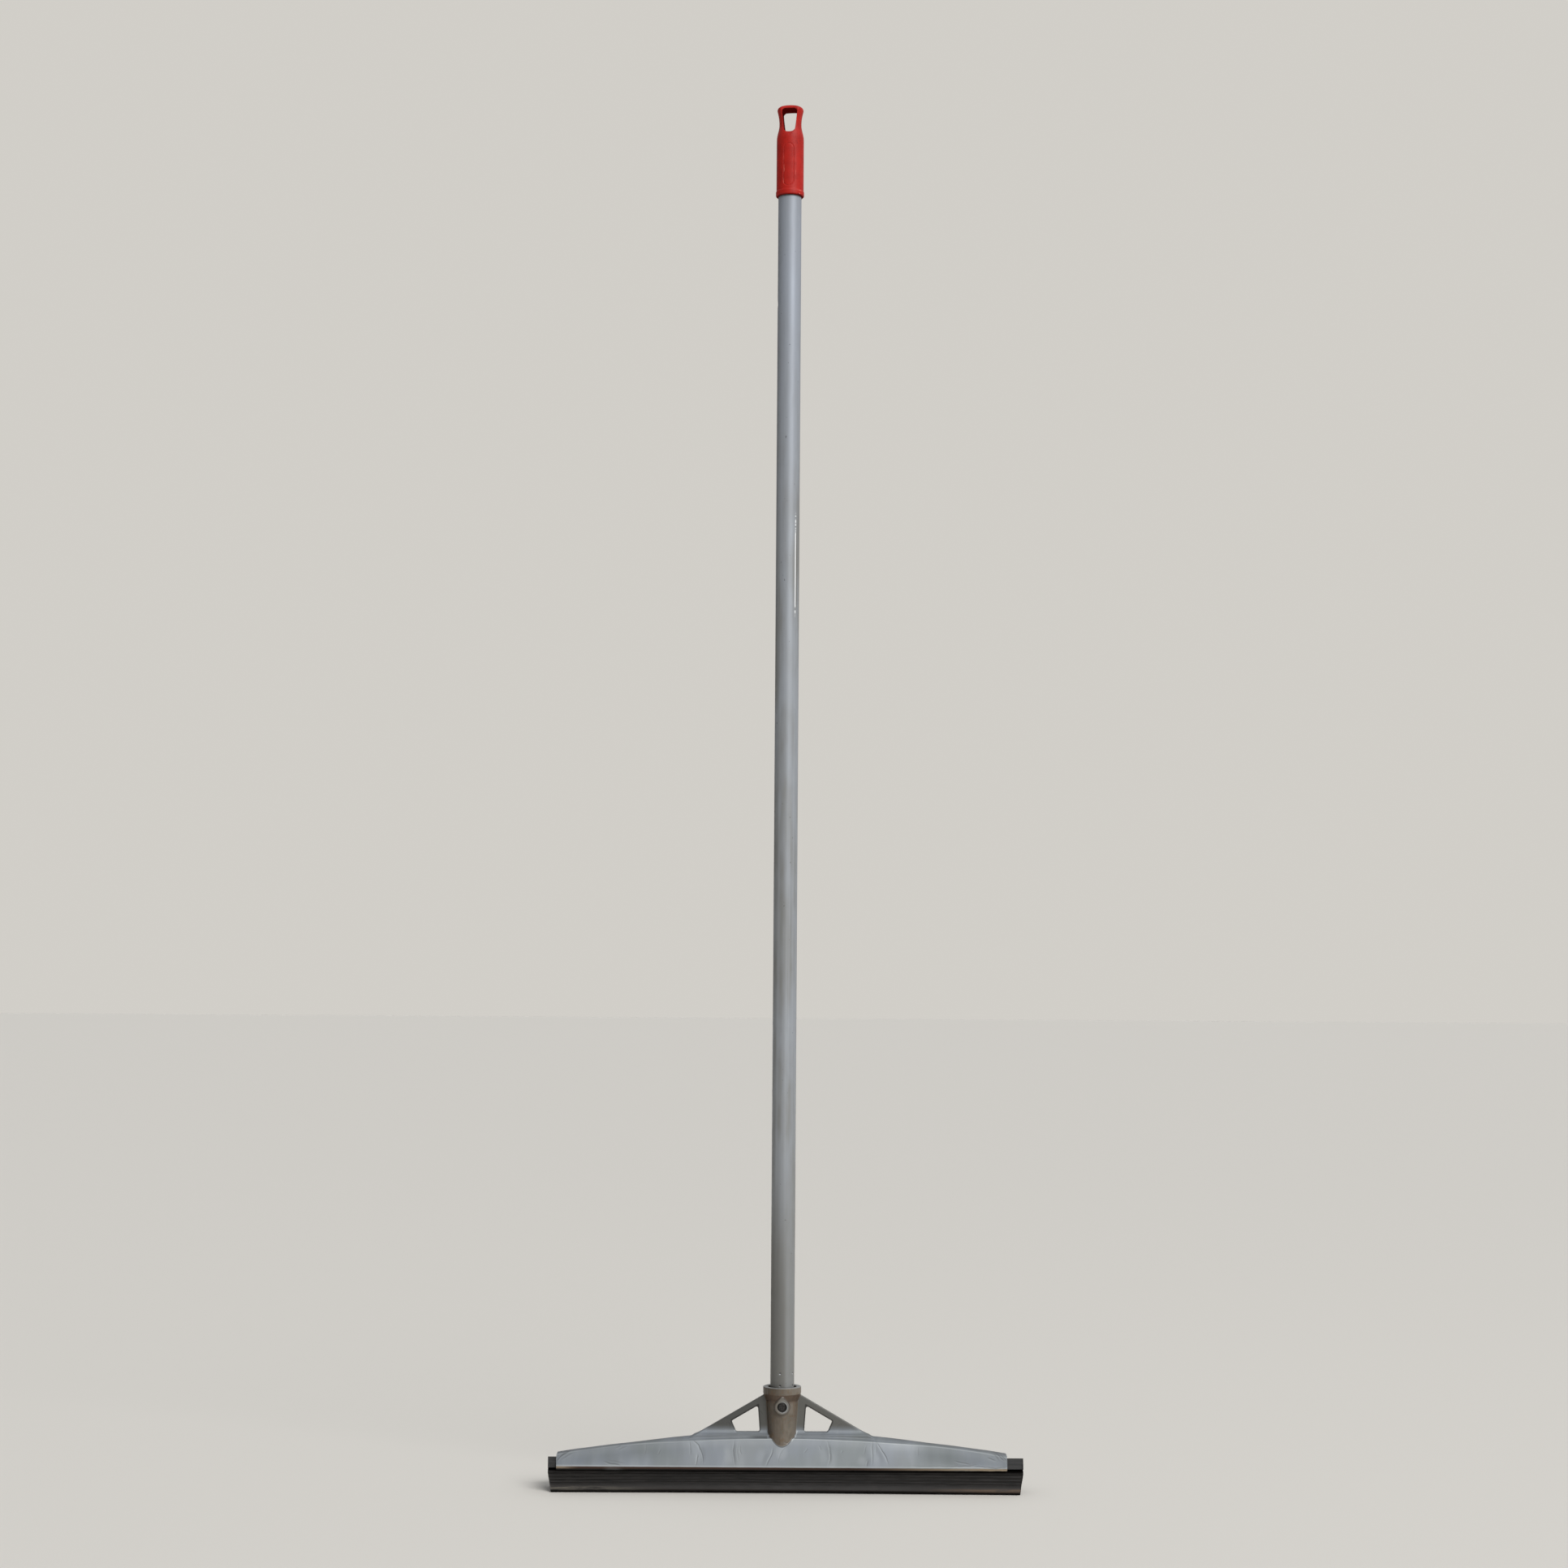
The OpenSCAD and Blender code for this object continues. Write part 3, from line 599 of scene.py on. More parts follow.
def bossTone(tree, at, colour):  # the boss round the screw, which is round below and pointed above: painted shade on its walls, its left and round its face, a painted highlight right of the screw's edge, painted shade in the recess
    up = calc(tree, "SUBTRACT", at.z, head["screwHeight"])
    away = calc(tree, "SQRT", calc(tree, "ADD", at.squareX, times(tree, up, up)))
    lean = math.radians(head["bossFlank"])
    flank = calc(tree, "ADD", times(tree, at.farX, math.cos(lean)), times(tree, up, math.sin(lean)))
    upper = calc(tree, "GREATER_THAN", up, times(tree, at.farX, math.tan(lean)))
    outline = mixedValue(tree, upper, away, flank)
    tall = times(tree, ranged(tree, at.z, *head["bossLow"]), ranged(tree, at.z, *head["bossTop"], 1.0, 0.0))
    face = times(tree, ranged(tree, at.farY, head["bossFace"], head["bossFace"] + 0.25), tall)
    walls = times(tree, tall, ranged(tree, at.outside, 0.15, 0.3), ranged(tree, at.farX, 9.5, 10.0, 1.0, 0.0))
    tone = mixed(tree, ranged(tree, at.across, 3.0, -6.0, 0.0, 0.4), head["boss"], head["socketShade"])
    ring = times(tree, near(tree, away, head["screwEdge"], 0.1, 0.6),
                 ranged(tree, at.across, -4.0, 3.5, 0.0, 0.7))
    rim = times(tree, ranged(tree, outline, 5.6, 6.6), ranged(tree, at.across, 6.0, -2.0, 0.35, 0.8))
    recess = times(tree, ranged(tree, away, 4.3, 4.6, 1.0, 0.0), ranged(tree, at.y, -16.2, -16.8, 1.0, 0.0),
                   calc(tree, "LESS_THAN", at.y, -13.0), 0.7)
    return layered(
        tree, colour,
        (times(tree, walls, 0.85), head["socketShade"]),
        (face, tone),
        (times(tree, face, ring), head["paleMarksAndHighlights"]),
        (times(tree, face, rim), head["socketShade"]),
        (times(tree, face, ranged(tree, outline, 6.6, 7.0, 0.0, 0.6)), head["line"]),
        (recess, head["line"]),
    )


def lowerTone(tree, at, colour):  # the lower band, which is torn and uneven at one end, with painted shade in the gap below it
    paler = calc(tree, "MAXIMUM", ranged(tree, at.across, 60.0, 190.0),
                 ranged(tree, at.across, -184, -204, 0.0, 0.5))
    tear = times(tree, at.wobble, ranged(tree, at.across, 110.0, 190.0, 0.1, 0.7))
    aboveKnee = calc(tree, "ADD", calc(tree, "SUBTRACT", at.z, head["knee"]), tear)
    return layered(
        tree, colour,
        (ranged(tree, aboveKnee, -0.2, 0.2, 1.0, 0.0), mixed(tree, paler, head["under"], head["underPale"])),
        (ranged(tree, aboveKnee, -2.6, -1.5, 1.0, 0.0), head["gap"]),
    )


def headFinish():
    material, tree, shader = newMaterial("headPlastic", Metallic=0.2)
    at = headPlaces(tree)
    colour = skirtTone(tree, at)
    colour = webTone(tree, at, colour)
    colour = socketTone(tree, at, colour)
    colour = bossTone(tree, at, colour)
    # a painted highlight along the rim of the socket's mouth
    mouthHighlight = ranged(tree, at.z, head["rimLow"], head["rimLow"] + 0.25, 0.0, 0.6)
    colour = mixed(tree, mouthHighlight, colour, head["paleMarksAndHighlights"])
    colour = lowerTone(tree, at, colour)

    # lines of flow, painted shade and highlight of soft folds, a painted highlight on convex edges that is
    # partly wear, painted shadows at the window, and darker concave corners
    dark, rim = flowLines(tree, at.turned, at.wobble, head["lines"], 1.25, 0.2)
    foldShade, foldHighlight = flowLines(tree, at.turned, at.wobble, head["foldShading"], 7.0, 0.1)
    edges = head["edges"] + [(-x1, z1, -x2, z2, *rest) for x1, z1, x2, z2, *rest in head["edges"]]
    shadow, _ = flowLines(tree, at.place, 0.0, edges, 2.6, 0.47)
    onSkirts = ranged(tree, at.z, 56.0, 50.0)
    # how strong the painted highlight on convex edges is, which is partly wear; weaker above the skirts
    worn = calc(tree, "SUBTRACT", 0.45, ranged(tree, at.z, 48.2, 49.0, 0.0, 0.3))
    concaveDark = ranged(tree, at.socket, 0.2, 0.8, 0.6, 0.2)
    colour = layered(
        tree, colour,
        (times(tree, foldHighlight, onSkirts, 0.22), head["paleMarksAndHighlights"]),
        (times(tree, foldShade, onSkirts, 0.2), head["line"]),
        (times(tree, rim, onSkirts, 0.25), head["paleMarksAndHighlights"]),
        (times(tree, dark, 0.52), head["line"]),
        (times(tree, ranged(tree, at.edge, 0.53, 0.62), worn), head["paleMarksAndHighlights"]),
        (times(tree, shadow, ranged(tree, at.farY, 3.0, 4.0, 1.0, 0.0), 0.8), head["gap"]),
        (times(tree, ranged(tree, at.edge, 0.475, 0.40), concaveDark), head["line"]),
    )
    rough = calc(tree, "ADD", ranged(tree, at.cloud, 0.3, 0.7, 0.38, 0.46), times(tree, dark, 0.15))
    grain = noiseOf(tree, at.place, 1.6, 3, 0.6)
    height = calc(tree, "ADD", times(tree, grain, 0.1), times(tree, at.cloud, 0.3))
    height = calc(tree, "SUBTRACT", height, times(tree, dark, 0.5))
    finishShader(tree, shader, colour, rough, height, 0.2, 0.5)
    return material


headPiece = mouldedCopy("head_frame", "moulded_head", head, shapeEnds)
finishPiece(headPiece, headFinish(), "head", "head_frame")
print("head made")


# the black rubber: two lips under a base strip
rubber = {
    "stations": 250, "arch": 2.0, "archPlace": -35, "slant": 3.0, "skew": 2.7, "wave": 0.35, "ripple": 0.12,
    "lipTop": 17, "heldAbove": 19, "stripLow": (20, 22.6), "stripHalf": 16.5,
    "colour": srgb(31, 29, 28), "dust": srgb(66, 63, 61), "deep": srgb(8, 7, 6), "strip": srgb(35, 35, 35),
    "earth": srgb(92, 74, 58), "chalk": srgb(92, 88, 80),
    "crests": (15.0, 12.1, 9.2),
    # half of the section from the top of the strip down to the lip and up inside: y, z and corner radius
    "half": [
        (8.4, 26.9, 0.4), (16.5, 26.9, 0.7), (18.7, 22.7, 0.4), (12.5, 22.7, 0.3), (12.5, 20.6, 0.3),
        (16.2, 20.4, 0.5), (16.35, 17.6, 0.5), (15.45, 17.1, 0.3), (15.5, 15.6, 0.3), (16.0, 15.0, 0.25),
        (15.5, 14.4, 0.3), (15.5, 12.7, 0.3), (16.0, 12.1, 0.25), (15.5, 11.5, 0.3), (15.5, 9.8, 0.3),
        (16.1, 9.2, 0.25), (15.6, 8.5, 0.4), (16.3, 5.4, 2.0), (17.9, 1.7, 0.5), (17.4, 0.0, 0.3),
        (15.7, 0.0, 0.4), (13.0, 7.0, 3.0), (12.2, 17.0, 2.0), (9.3, 20.9, 1.5), (9.3, 22.7, 0.3),
    ],
}


def roundedOutline(corners, steps=3):  # closed outline with an arc-like bend at every corner
    outline = []
    for i, (y, z, radius) in enumerate(corners):
        here = Vector((y, z))
        before = Vector(corners[i - 1][:2]) - here
        after = Vector(corners[(i + 1) % len(corners)][:2]) - here
        start = here + before.normalized() * min(radius, before.length * 0.48)
        end = here + after.normalized() * min(radius, after.length * 0.48)
        for step in range(steps + 1):
            t = step / steps
            outline.append(start * (1 - t) ** 2 + here * (2 * t * (1 - t)) + end * t ** 2)
    return outline


def rubberPoint(x, y, z, arch, atEnd):  # one point of the straight section, bent as a used rubber is
    front = y > 0
    depth = max(0.0, 1 - z / rubber["heldAbove"])  # nothing moves inside the head
    sway = noise.noise(Vector((x * 0.012, 3 if front else 8, 0))) * rubber["wave"]
    ripple = noise.noise(Vector((x * 0.11, 5 if front else 1, z * 0.1))) * rubber["ripple"] * depth
    bulge = (sway * depth * 2 + ripple) * (1 if front else -1)
    lean = rubber["slant"] * max(0.0, 1 - z / rubber["lipTop"])
    # the ends of the base strip aren't cut square
    half = rubber["stripHalf"]
    lean -= rubber["skew"] * eased(z, *rubber["stripLow"]) * (y + half) / (2 * half)
    tilt = head["roll"] * x * min(1.0, z / rubber["lipTop"])
    return Vector((x - lean * atEnd, y + bulge, max(0, z + tilt + arch * depth ** 0.7))) * mm


def makeRubber():
    (start, _, _), (end, _, _) = boxOf("rubber_blade")
    half = rubber["half"]
    section = roundedOutline(half + [(-y, z, r) for y, z, r in reversed(half)])
    middle = rubber["archPlace"]
    points = []
    count = rubber["stations"]
    for i in range(count):
        share = i / (count - 1)
        x = start + (end - start) * share
        reach = (x - middle) / (middle - start if x < middle else end - middle)
        arch = rubber["arch"] * math.cos(reach * math.pi / 2) ** 1.2 if abs(reach) < 1 else 0
        atEnd = math.copysign(abs(2 * share - 1) ** 60, share - 0.5)
        points += [rubberPoint(x, y, z, arch, atEnd) for y, z in section]
    columns = len(section)
    faces = gridFaces(count, columns)
    faces.append(tuple(range(columns)))
    faces.append(tuple(reversed(range((count - 1) * columns, count * columns))))
    piece = meshPiece("lip_rubber", points, faces)
    for face in piece.data.polygons[-2:]:
        face.use_smooth = False
    return piece


def rubberFinish():
    material, tree, shader = newMaterial("blackRubber")
    place, x, y, z = millimetres(tree)
    smear = noiseOf(tree, stretched(tree, place, (0.12, 1, 1)), 0.5, 5, 0.6)
    speck = noiseOf(tree, place, 1.4, 2, 0.7)
    side = times(tree, x, calc(tree, "SIGN", y))
    recess = times(tree, ranged(tree, z, 18.8, 19.8), ranged(tree, z, 22.2, 22.6, 1.0, 0.0))
    shine = times(tree, ranged(tree, z, 1.0, 4.0, 0.08, 0.25), ranged(tree, recess, 0.0, 1.0, 1.0, 0.1))
    feed(tree, shader.inputs["Specular IOR Level"], shine)
    colour = layered(
        tree, mixed(tree, ranged(tree, smear, 0.3, 0.7), rubber["colour"], rubber["deep"]),
        (ranged(tree, z, 21.5, 24.0), rubber["strip"]),
    )
    # dust on the flared lip and along the crests, with a few specks
    flared = times(tree, ranged(tree, z, 2.0, 5.0), ranged(tree, z, 5.5, 8.5, 1.0, 0.0))
    dust = [times(tree, flared, ranged(tree, smear, 0.25, 0.7, 0.05, 0.3))]
    dust += [times(tree, near(tree, z, crest, 0.1, 0.55), ranged(tree, smear, 0.35, 0.75, 0.0, 0.45))
             for crest in rubber["crests"]]
    dust += [ranged(tree, speck, 0.7, 0.76, 0.0, 0.6)]
    colour = layered(tree, colour, *[(mask, rubber["dust"]) for mask in dust])
    # chalky towards one end of the lip and earthy towards the other, and painted shade in the recess and
    # where the lip meets the floor
    chalk = times(tree, ranged(tree, side, 100.0, 190.0), ranged(tree, z, 6.5, 4.0, 0.0, 0.75))
    earth = times(tree, ranged(tree, side, -120.0, -195.0, 0.06, 1.0), ranged(tree, z, 6.0, 3.6, 0.0, 0.75))
    colour = layered(
        tree, colour,
        (times(tree, chalk, ranged(tree, smear, 0.35, 0.65)), rubber["chalk"]),
        (times(tree, earth, ranged(tree, smear, 0.3, 0.55, 0.2, 1.0)), rubber["earth"]),
        (ranged(tree, z, 1.2, 4.0, 1.0, 0.0), rubber["deep"]),
        (times(tree, recess, 0.8), rubber["deep"]),
    )
    height = calc(tree, "ADD", smear, times(tree, speck, 0.5))
    finishShader(tree, shader, colour, ranged(tree, smear, 0.2, 0.8, 0.42, 0.62), height, 0.12, 0.5)
    return material


finishPiece(makeRubber(), rubberFinish(), "rubber", "rubber_blade")
print("rubber made")


# the painted tube, punched where it holds the plug
tube = {
    "around": 144, "wall": 0.8,
    "punchDepth": 0.75, "punchRadius": 0.95, "punchRows": (8.0, 19.2), "punchTurn": -11.5, "punchesAround": 5,
    # height, turn from the front, depth and size
    "dents": [(1108, -84, 0.4, 3.5), (775, -62, 0.12, 5), (640, 24, 0.1, 6)],
    "seamX": 7.3, "seamMiddle": 853, "rimHighlights": (0.3, 0.9),  # how strong the punch marks' painted highlight is against their painted shade, lower row first
    "colour": srgb(150, 155, 162), "deep": srgb(128, 129, 128), "low": srgb(122, 122, 118),
    "lowLeftDark": srgb(92, 90, 84), "cool": srgb(152, 160, 174), "bright": srgb(176, 182, 190),
    # the seam tone is a painted glint on the seam
    "seamGlint": srgb(236, 238, 240), "speck": srgb(70, 66, 62),
}


def punchTurns():  # degrees from the front
    return [tube["punchTurn"] + turn * 360 / tube["punchesAround"] for turn in range(tube["punchesAround"])]


def tubeHeights(low, high):  # close at the punch marks and the dents, wide apart elsewhere
    fine = low + 26
    heights = {round(low + step * 0.4, 3) for step in range(65)}
    heights |= {round(fine + step * 8.0, 3) for step in range(1, int((high - fine) / 8))}
    for place, _, _, size in tube["dents"]:
        heights |= {round(place + step * 0.8, 3) for step in range(-int(size * 3), int(size * 3) + 1)}
    return sorted(h for h in heights if h < high) + [high]


def makeTube():
    (left, _, low), (right, _, high) = boxOf("handle_tube")
    radius = (right - left) / 2
    bore = radius - tube["wall"]
    around = tube["around"]
    marks = [(low + row, turn, tube["punchDepth"], tube["punchRadius"])
             for row in tube["punchRows"] for turn in punchTurns()]
    rings = [(bore, low + 20), (bore, low + 0.1), (radius - tube["wall"] / 2, low)]
    rings += [(radius - 0.12 if z == low else radius, z) for z in tubeHeights(low, high)]
    rings += [(bore, high), (bore, high - 12)]
    points = []
    for r, z in rings:
        for i in range(around):
            turn = 360 * i / around
            inward = 0.0
            for place, markTurn, depth, size in marks + tube["dents"]:
                if abs(z - place) > 3 * size or r < radius - 0.5:
                    continue
                swing = (turn - markTurn + 180) % 360 - 180
                away = math.hypot(z - place, math.radians(swing) * radius) / size
                inward += depth * math.exp(-away * away * 1.6)
            angle = math.radians(turn - 90)
            points.append(Vector((math.cos(angle) * (r - inward), math.sin(angle) * (r - inward), z)) * mm)
    return meshPiece("painted_tube", points, gridFaces(len(rings), around))


def punchShading(tree, place):  # painted shading of the punch marks: a painted highlight below and painted shade above
    (left, _, low), (right, _, _) = boxOf("handle_tube")
    radius = (right - left) / 2
    rims = []
    for row, litShare in zip(tube["punchRows"], tube["rimHighlights"]):
        for turn in punchTurns():
            angle = math.radians(turn - 90)
            rings = ((0.0, "speck", 1.15, 1.1 - 0.6 * litShare), (-0.5, "bright", 0.8, litShare))
            for drop, tone, size, strength in rings:
                centre = (math.cos(angle) * radius, math.sin(angle) * radius, low + row + drop)
                away = tree.nodes.new("ShaderNodeVectorMath")
                away.operation = "DISTANCE"
                feed(tree, away.inputs[0], place)
                away.inputs[1].default_value = centre
                mask = ranged(tree, away.outputs["Value"], size * 0.7, size, strength, 0.0)
                rims.append((mask, tube[tone]))
    return rims


def tubeFinish():
    material, tree, shader = newMaterial("silverPaint", Metallic=0.25)
    place, x, y, z = millimetres(tree)
    mottle = noiseOf(tree, stretched(tree, place, (1, 1, 0.2)), 0.05, 3, 0.55)
    drawn = noiseOf(tree, stretched(tree, place, (1, 1, 0.004)), 0.35, 2, 0.5)
    peel = noiseOf(tree, place, 1.1, 2, 0.5)
    speck = noiseOf(tree, stretched(tree, place, (1, 1, 0.6)), 0.42, 1, 0.4)
    underGrip = boxOf("hanging_grip")[0][2]
    # the paint is duller and darker on its left side low down, over the head
    lowLeftDark = times(tree, ranged(tree, z, 330, 140, 0.0, 0.6), ranged(tree, x, 1.0, 4.5, 1.0, 0.0))
    # a pale line along the seam, painted as a glint on it, broken at its ends, with a dark one beside it
    front = calc(tree, "LESS_THAN", y, 0.0)
    dots = ranged(tree, noiseOf(tree, stretched(tree, place, (0, 0, 1)), 0.35, 2, 0.6), 0.46, 0.54)
    middle = tube["seamMiddle"]
    broken = times(tree, near(tree, z, middle + 4, 44, 52), dots)
    solid = calc(tree, "MAXIMUM", near(tree, z, middle, 33, 37), broken)
    seamGlint = times(tree, near(tree, x, tube["seamX"], 0.3, 0.65), solid, front, 0.9)
    beside = near(tree, x, tube["seamX"] + 1, 0.2, 0.7)
    beside = times(tree, beside, near(tree, z, middle, 30, 40), front, 0.35)
    colour = layered(
        tree, mixed(tree, ranged(tree, mottle, 0.35, 0.7), tube["colour"], tube["deep"]),
        (ranged(tree, drawn, 0.4, 0.7, 0.0, 0.25), tube["bright"]),
        (ranged(tree, z, 850, 1150, 0.0, 0.6), tube["cool"]),
        # painted shadow on the tube just under the grip
        (ranged(tree, z, underGrip - 1.6, underGrip - 0.4, 0.0, 0.8), tube["speck"]),
        (ranged(tree, z, 420, 60, 0.0, 0.75), tube["low"]),
        (lowLeftDark, tube["lowLeftDark"]),
        (seamGlint, tube["seamGlint"]),
        (beside, tube["speck"]),
        (ranged(tree, speck, 0.77, 0.8, 0.0, 0.6), tube["speck"]),
        *punchShading(tree, place),
    )
    finishShader(tree, shader, colour, ranged(tree, mottle, 0.3, 0.7, 0.42, 0.5), peel, 0.03, 0.35)
    return material


finishPiece(makeTube(), tubeFinish(), "handle", "handle_tube")
print("tube made")


# the screw plug in the foot of the tube
plug = {
    "around": 96, "pitch": 5.0, "threadDepth": 1.3, "crest": 10.75, "core": 7.25, "inTube": 10.15,
    "flangeThick": 2.0,
    "colour": srgb(52, 52, 54), "worn": srgb(84, 84, 86),
}


def makePlug():
    (left, _, low), (right, _, high) = boxOf("thread_plug")
    tubeLow = boxOf("handle_tube")[0][2]
    flange = (right - left) / 2
    flangeLow = tubeLow - plug["flangeThick"]
    crest, around = plug["crest"], plug["around"]
    rings = [(plug["core"], high - 14, False), (plug["core"], low + 0.2, False)]
    threadLength = flangeLow - 1.5 - low
    steps = int(threadLength / 0.3)
    for i in range(steps + 1):
        z = low + threadLength * i / steps
        rings.append((min(crest, crest - 2 + (z - low)), z, True))
    smooth = [
        (crest - 1.3, flangeLow), (flange - 0.3, flangeLow), (flange, flangeLow + 0.3), (flange, tubeLow),
        (plug["inTube"], tubeLow), (plug["inTube"], high - 0.6), (plug["inTube"] - 0.65, high), (0.01, high),
    ]
    rings += [(r, z, False) for r, z in smooth]
    points = []
    for r, z, threaded in rings:
        for i in range(around):
            turn = i / around
            phase = (z / plug["pitch"] - turn) % 1
            groove = plug["threadDepth"] * clamped((abs(phase - 0.5) - 0.16) / 0.14) if threaded else 0
            inner = min(r, max(r - groove, crest - 2))
            angle = turn * 2 * math.pi
            points.append(Vector((math.cos(angle) * inner, math.sin(angle) * inner, z)) * mm)
    return meshPiece("screw_plug", points, gridFaces(len(rings), around))


def plugFinish():
    material, tree, shader = newMaterial("plugPlastic")
    place = millimetres(tree)[0]
    wear = noiseOf(tree, place, 0.35, 4, 0.6)
    colour = mixed(tree, ranged(tree, wear, 0.45, 0.75, 0.0, 0.6), plug["colour"], plug["worn"])
    grain = noiseOf(tree, place, 1.5, 2, 0.5)
    finishShader(tree, shader, colour, ranged(tree, wear, 0.3, 0.7, 0.38, 0.55), grain, 0.06, 0.4)
    return material


finishPiece(makePlug(), plugFinish(), "handle", "thread_plug")
print("plug made")


# the red grip with its hanging eye
grip = {
    "voxel": 0.3, "passes": 3, "keep": 0.32, "turn": -7,
    "neck": (1263, 1269), "neckPasses": 45,  # where the round neck of the eye begins, and how round it is
    # the pale tone is painted highlight on the edges and along the panel's left groove, and the pale of chips
    # and scuffs
    "colour": srgb(172, 32, 24), "deep": srgb(154, 25, 18), "paleMarksAndHighlights": srgb(216, 104, 92),
    "dark": srgb(92, 16, 15), "mark": srgb(136, 16, 22),
    # scuffs and chips on the front, and painted highlights along the panel's left groove: x and z, half width
    # and half height, tone and strength
    "marks": [
        (-5.9, 1236, 0.45, 4.5, "paleMarksAndHighlights", 0.75), (-6.0, 1247, 0.35, 3.0, "paleMarksAndHighlights", 0.35),
        (-6.2, 1224, 0.5, 3.0, "paleMarksAndHighlights", 0.4), (6.0, 1262.6, 1.2, 0.6, "mark", 0.8),
        (6.7, 1261.0, 0.5, 1.5, "mark", 0.8), (9.1, 1263.3, 0.4, 0.9, "mark", 0.8),
        (9.2, 1215.2, 2.2, 0.4, "paleMarksAndHighlights", 0.6), (8.2, 1211.6, 1.2, 0.7, "dark", 0.9),
        (9.0, 1212.3, 0.6, 0.5, "paleMarksAndHighlights", 0.9), (5.2, 1232, 0.3, 2.5, "paleMarksAndHighlights", 0.3),
    ],
}


def softenNeck(piece):  # the neck and the eye are rounder than the rest of the grip
    group = piece.vertex_groups.new(name="neck")
    for vertex in piece.data.vertices:
        group.add([vertex.index], eased(vertex.co.z / mm, *grip["neck"]), "REPLACE")
    addSmoothing(piece, grip["neckPasses"]).vertex_group = "neck"
    applyModifiers(piece)


def gripShade(tree, x, z, facingY, facingZ):  # painted shade: what faces down is dark, and so are the walls of the eye
    mouthOrEye = calc(tree, "MAXIMUM", ranged(tree, z, 1282.0, 1286.0), ranged(tree, z, 1215.0, 1212.5))
    under = times(tree, ranged(tree, facingZ, -0.3, -0.9), mouthOrEye)
    inner = times(tree, ranged(tree, calc(tree, "ABSOLUTE", x), 8.5, 7.8), ranged(tree, z, 1264.0, 1268.0),
                  ranged(tree, calc(tree, "ABSOLUTE", facingY), 0.75, 0.45), ranged(tree, z, 1298.0, 1297.0))
    return calc(tree, "MAXIMUM", under, inner)


def gripFinish():
    material, tree, shader = newMaterial("redPlastic")
    place, x, y, z = millimetres(tree)
    edge, facingY, facingZ = surface(tree)
    cloud = noiseOf(tree, place, 0.08, 4, 0.55)
    grain = noiseOf(tree, place, 2.6, 2, 0.6)
    scuff = noiseOf(tree, stretched(tree, place, (1, 1, 0.25)), 0.6, 5, 0.7)
    shade = gripShade(tree, x, z, facingY, facingZ)
    feed(tree, shader.inputs["Specular IOR Level"], ranged(tree, shade, 0.0, 1.0, 0.22, 0.0))
    # a painted highlight on the convex edges, broken up by scuffs
    worn = times(tree, ranged(tree, edge, 0.53, 0.62), ranged(tree, scuff, 0.4, 0.65))
    colour = layered(
        tree, mixed(tree, ranged(tree, cloud, 0.35, 0.7), grip["colour"], grip["deep"]),
        (times(tree, shade, 0.85), grip["dark"]),
        (times(tree, worn, 0.2), grip["paleMarksAndHighlights"]),
        # painted shade in the grooves and concave corners
        (ranged(tree, edge, 0.485, 0.42, 0.0, 0.45), grip["dark"]),
        (ranged(tree, scuff, 0.72, 0.78, 0.0, 0.3), grip["dark"]),
    )
    ragged = ranged(tree, scuff, 0.3, 0.7, -0.6, 0.6)
    front = calc(tree, "LESS_THAN", y, 0.0)
    for markX, markZ, halfWidth, halfHeight, tone, strength in grip["marks"]:
        u = calc(tree, "DIVIDE", calc(tree, "SUBTRACT", x, markX), halfWidth)
        v = calc(tree, "DIVIDE", calc(tree, "SUBTRACT", z, markZ), halfHeight)
        reach = calc(tree, "ADD", calc(tree, "ADD", times(tree, u, u), times(tree, v, v)), ragged)
        spot = times(tree, ranged(tree, reach, 0.4, 1.3, strength, 0.0), front)
        colour = mixed(tree, spot, colour, grip[tone])
    height = calc(tree, "ADD", grain, times(tree, scuff, 0.4))
    finishShader(tree, shader, colour, ranged(tree, cloud, 0.3, 0.7, 0.42, 0.52), height, 0.05, 0.5)
    return material


gripPiece = mouldedCopy("hanging_grip", "red_grip", grip)
softenNeck(gripPiece)
gripPiece.data.transform(Matrix.Rotation(math.radians(grip["turn"]), 4, "Z"))  # not screwed on quite square
finishPiece(gripPiece, gripFinish(), "handle", "hanging_grip")
print("grip made")


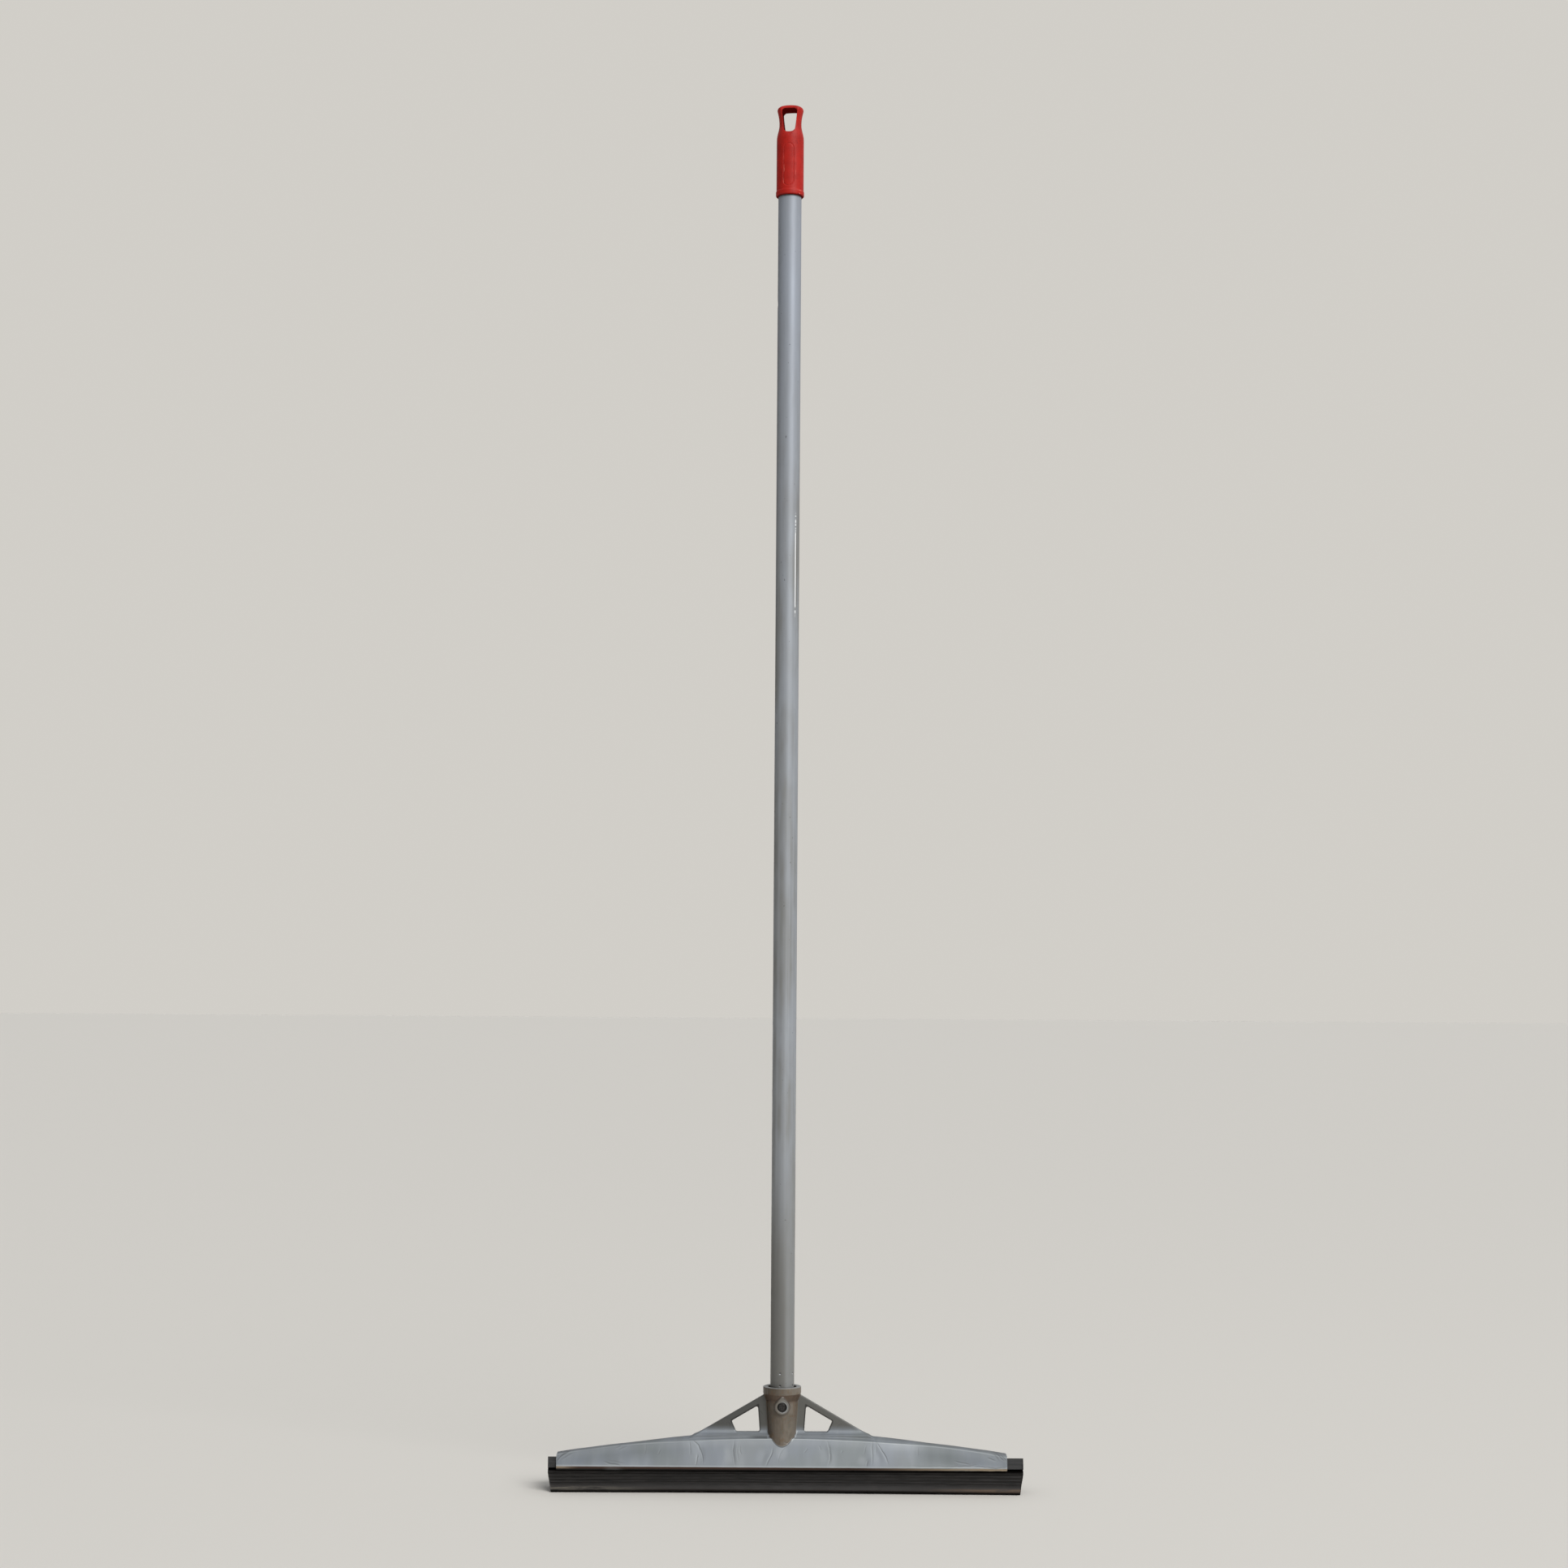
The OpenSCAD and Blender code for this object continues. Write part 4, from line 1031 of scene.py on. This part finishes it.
# the screw that clamps the handle in the socket
clamp = {
    "around": 96, "shank": 2.0, "headThick": 1.4, "pitch": 0.68, "threadDepth": 0.25,
    "crossWidth": 0.4, "crossLength": 2.0, "crossDepth": 0.15, "crossSlope": 0.22,
    "colour": srgb(66, 65, 64), "deep": srgb(44, 42, 41),
}


def crossSink(u, v):  # how deep the cross recess is at a point of the screw's face
    short, long = sorted((abs(u), abs(v)))
    outside = max(0, short - clamp["crossWidth"]) + max(0, long - clamp["crossLength"])
    return clamp["crossDepth"] * max(0, 1 - outside / clamp["crossSlope"])


def makeClamp():
    (left, front, bottom), (right, tip, top) = boxOf("clamp_screw")
    radius, middle = (right - left) / 2, (bottom + top) / 2
    around, shank = clamp["around"], clamp["shank"]
    seat = front + clamp["headThick"]
    quarter = clamp["pitch"] / 4
    rings = [(0.01, tip), (shank - 0.4, tip), (shank, tip - 0.4)]
    rings += [(shank - (clamp["threadDepth"] if i % 4 == 3 else 0), tip - 0.4 - i * quarter)
              for i in range(1, int((tip - 0.5 - seat) / quarter))]
    rings += [(shank, seat), (radius - 0.1, seat), (radius, seat - 0.1), (radius, front + 0.45),
              (radius - 0.12, front + 0.2), (radius - 0.4, front + 0.05)]
    rings += [(radius * (1 - i / 28) - 0.4, front) for i in range(1, 25)]
    points = []
    for r, y in rings:
        for i in range(around):
            angle = 2 * math.pi * i / around
            u, v = math.cos(angle) * r, math.sin(angle) * r
            sunk = crossSink(u, v) if y == front else 0.0
            points.append(Vector((u, y + sunk, middle + v)) * mm)
    points.append(Vector((0, front + clamp["crossDepth"], middle)) * mm)
    faces = gridFaces(len(rings), around)
    last = (len(rings) - 1) * around
    faces += [(last + i, last + (i + 1) % around, len(points) - 1) for i in range(around)]
    return meshPiece("dark_screw", points, faces)


def clampFinish():
    material, tree, shader = newMaterial("darkSteel", Metallic=0.8)
    tarnish = noiseOf(tree, millimetres(tree)[0], 0.9, 4, 0.65)
    colour = mixed(tree, ranged(tree, tarnish, 0.35, 0.7), clamp["colour"], clamp["deep"])
    finishShader(tree, shader, colour, ranged(tree, tarnish, 0.3, 0.7, 0.34, 0.58), tarnish, 0.05, 0.5)
    return material


finishPiece(makeClamp(), clampFinish(), "screw", "clamp_screw")
print("clamp screw made")
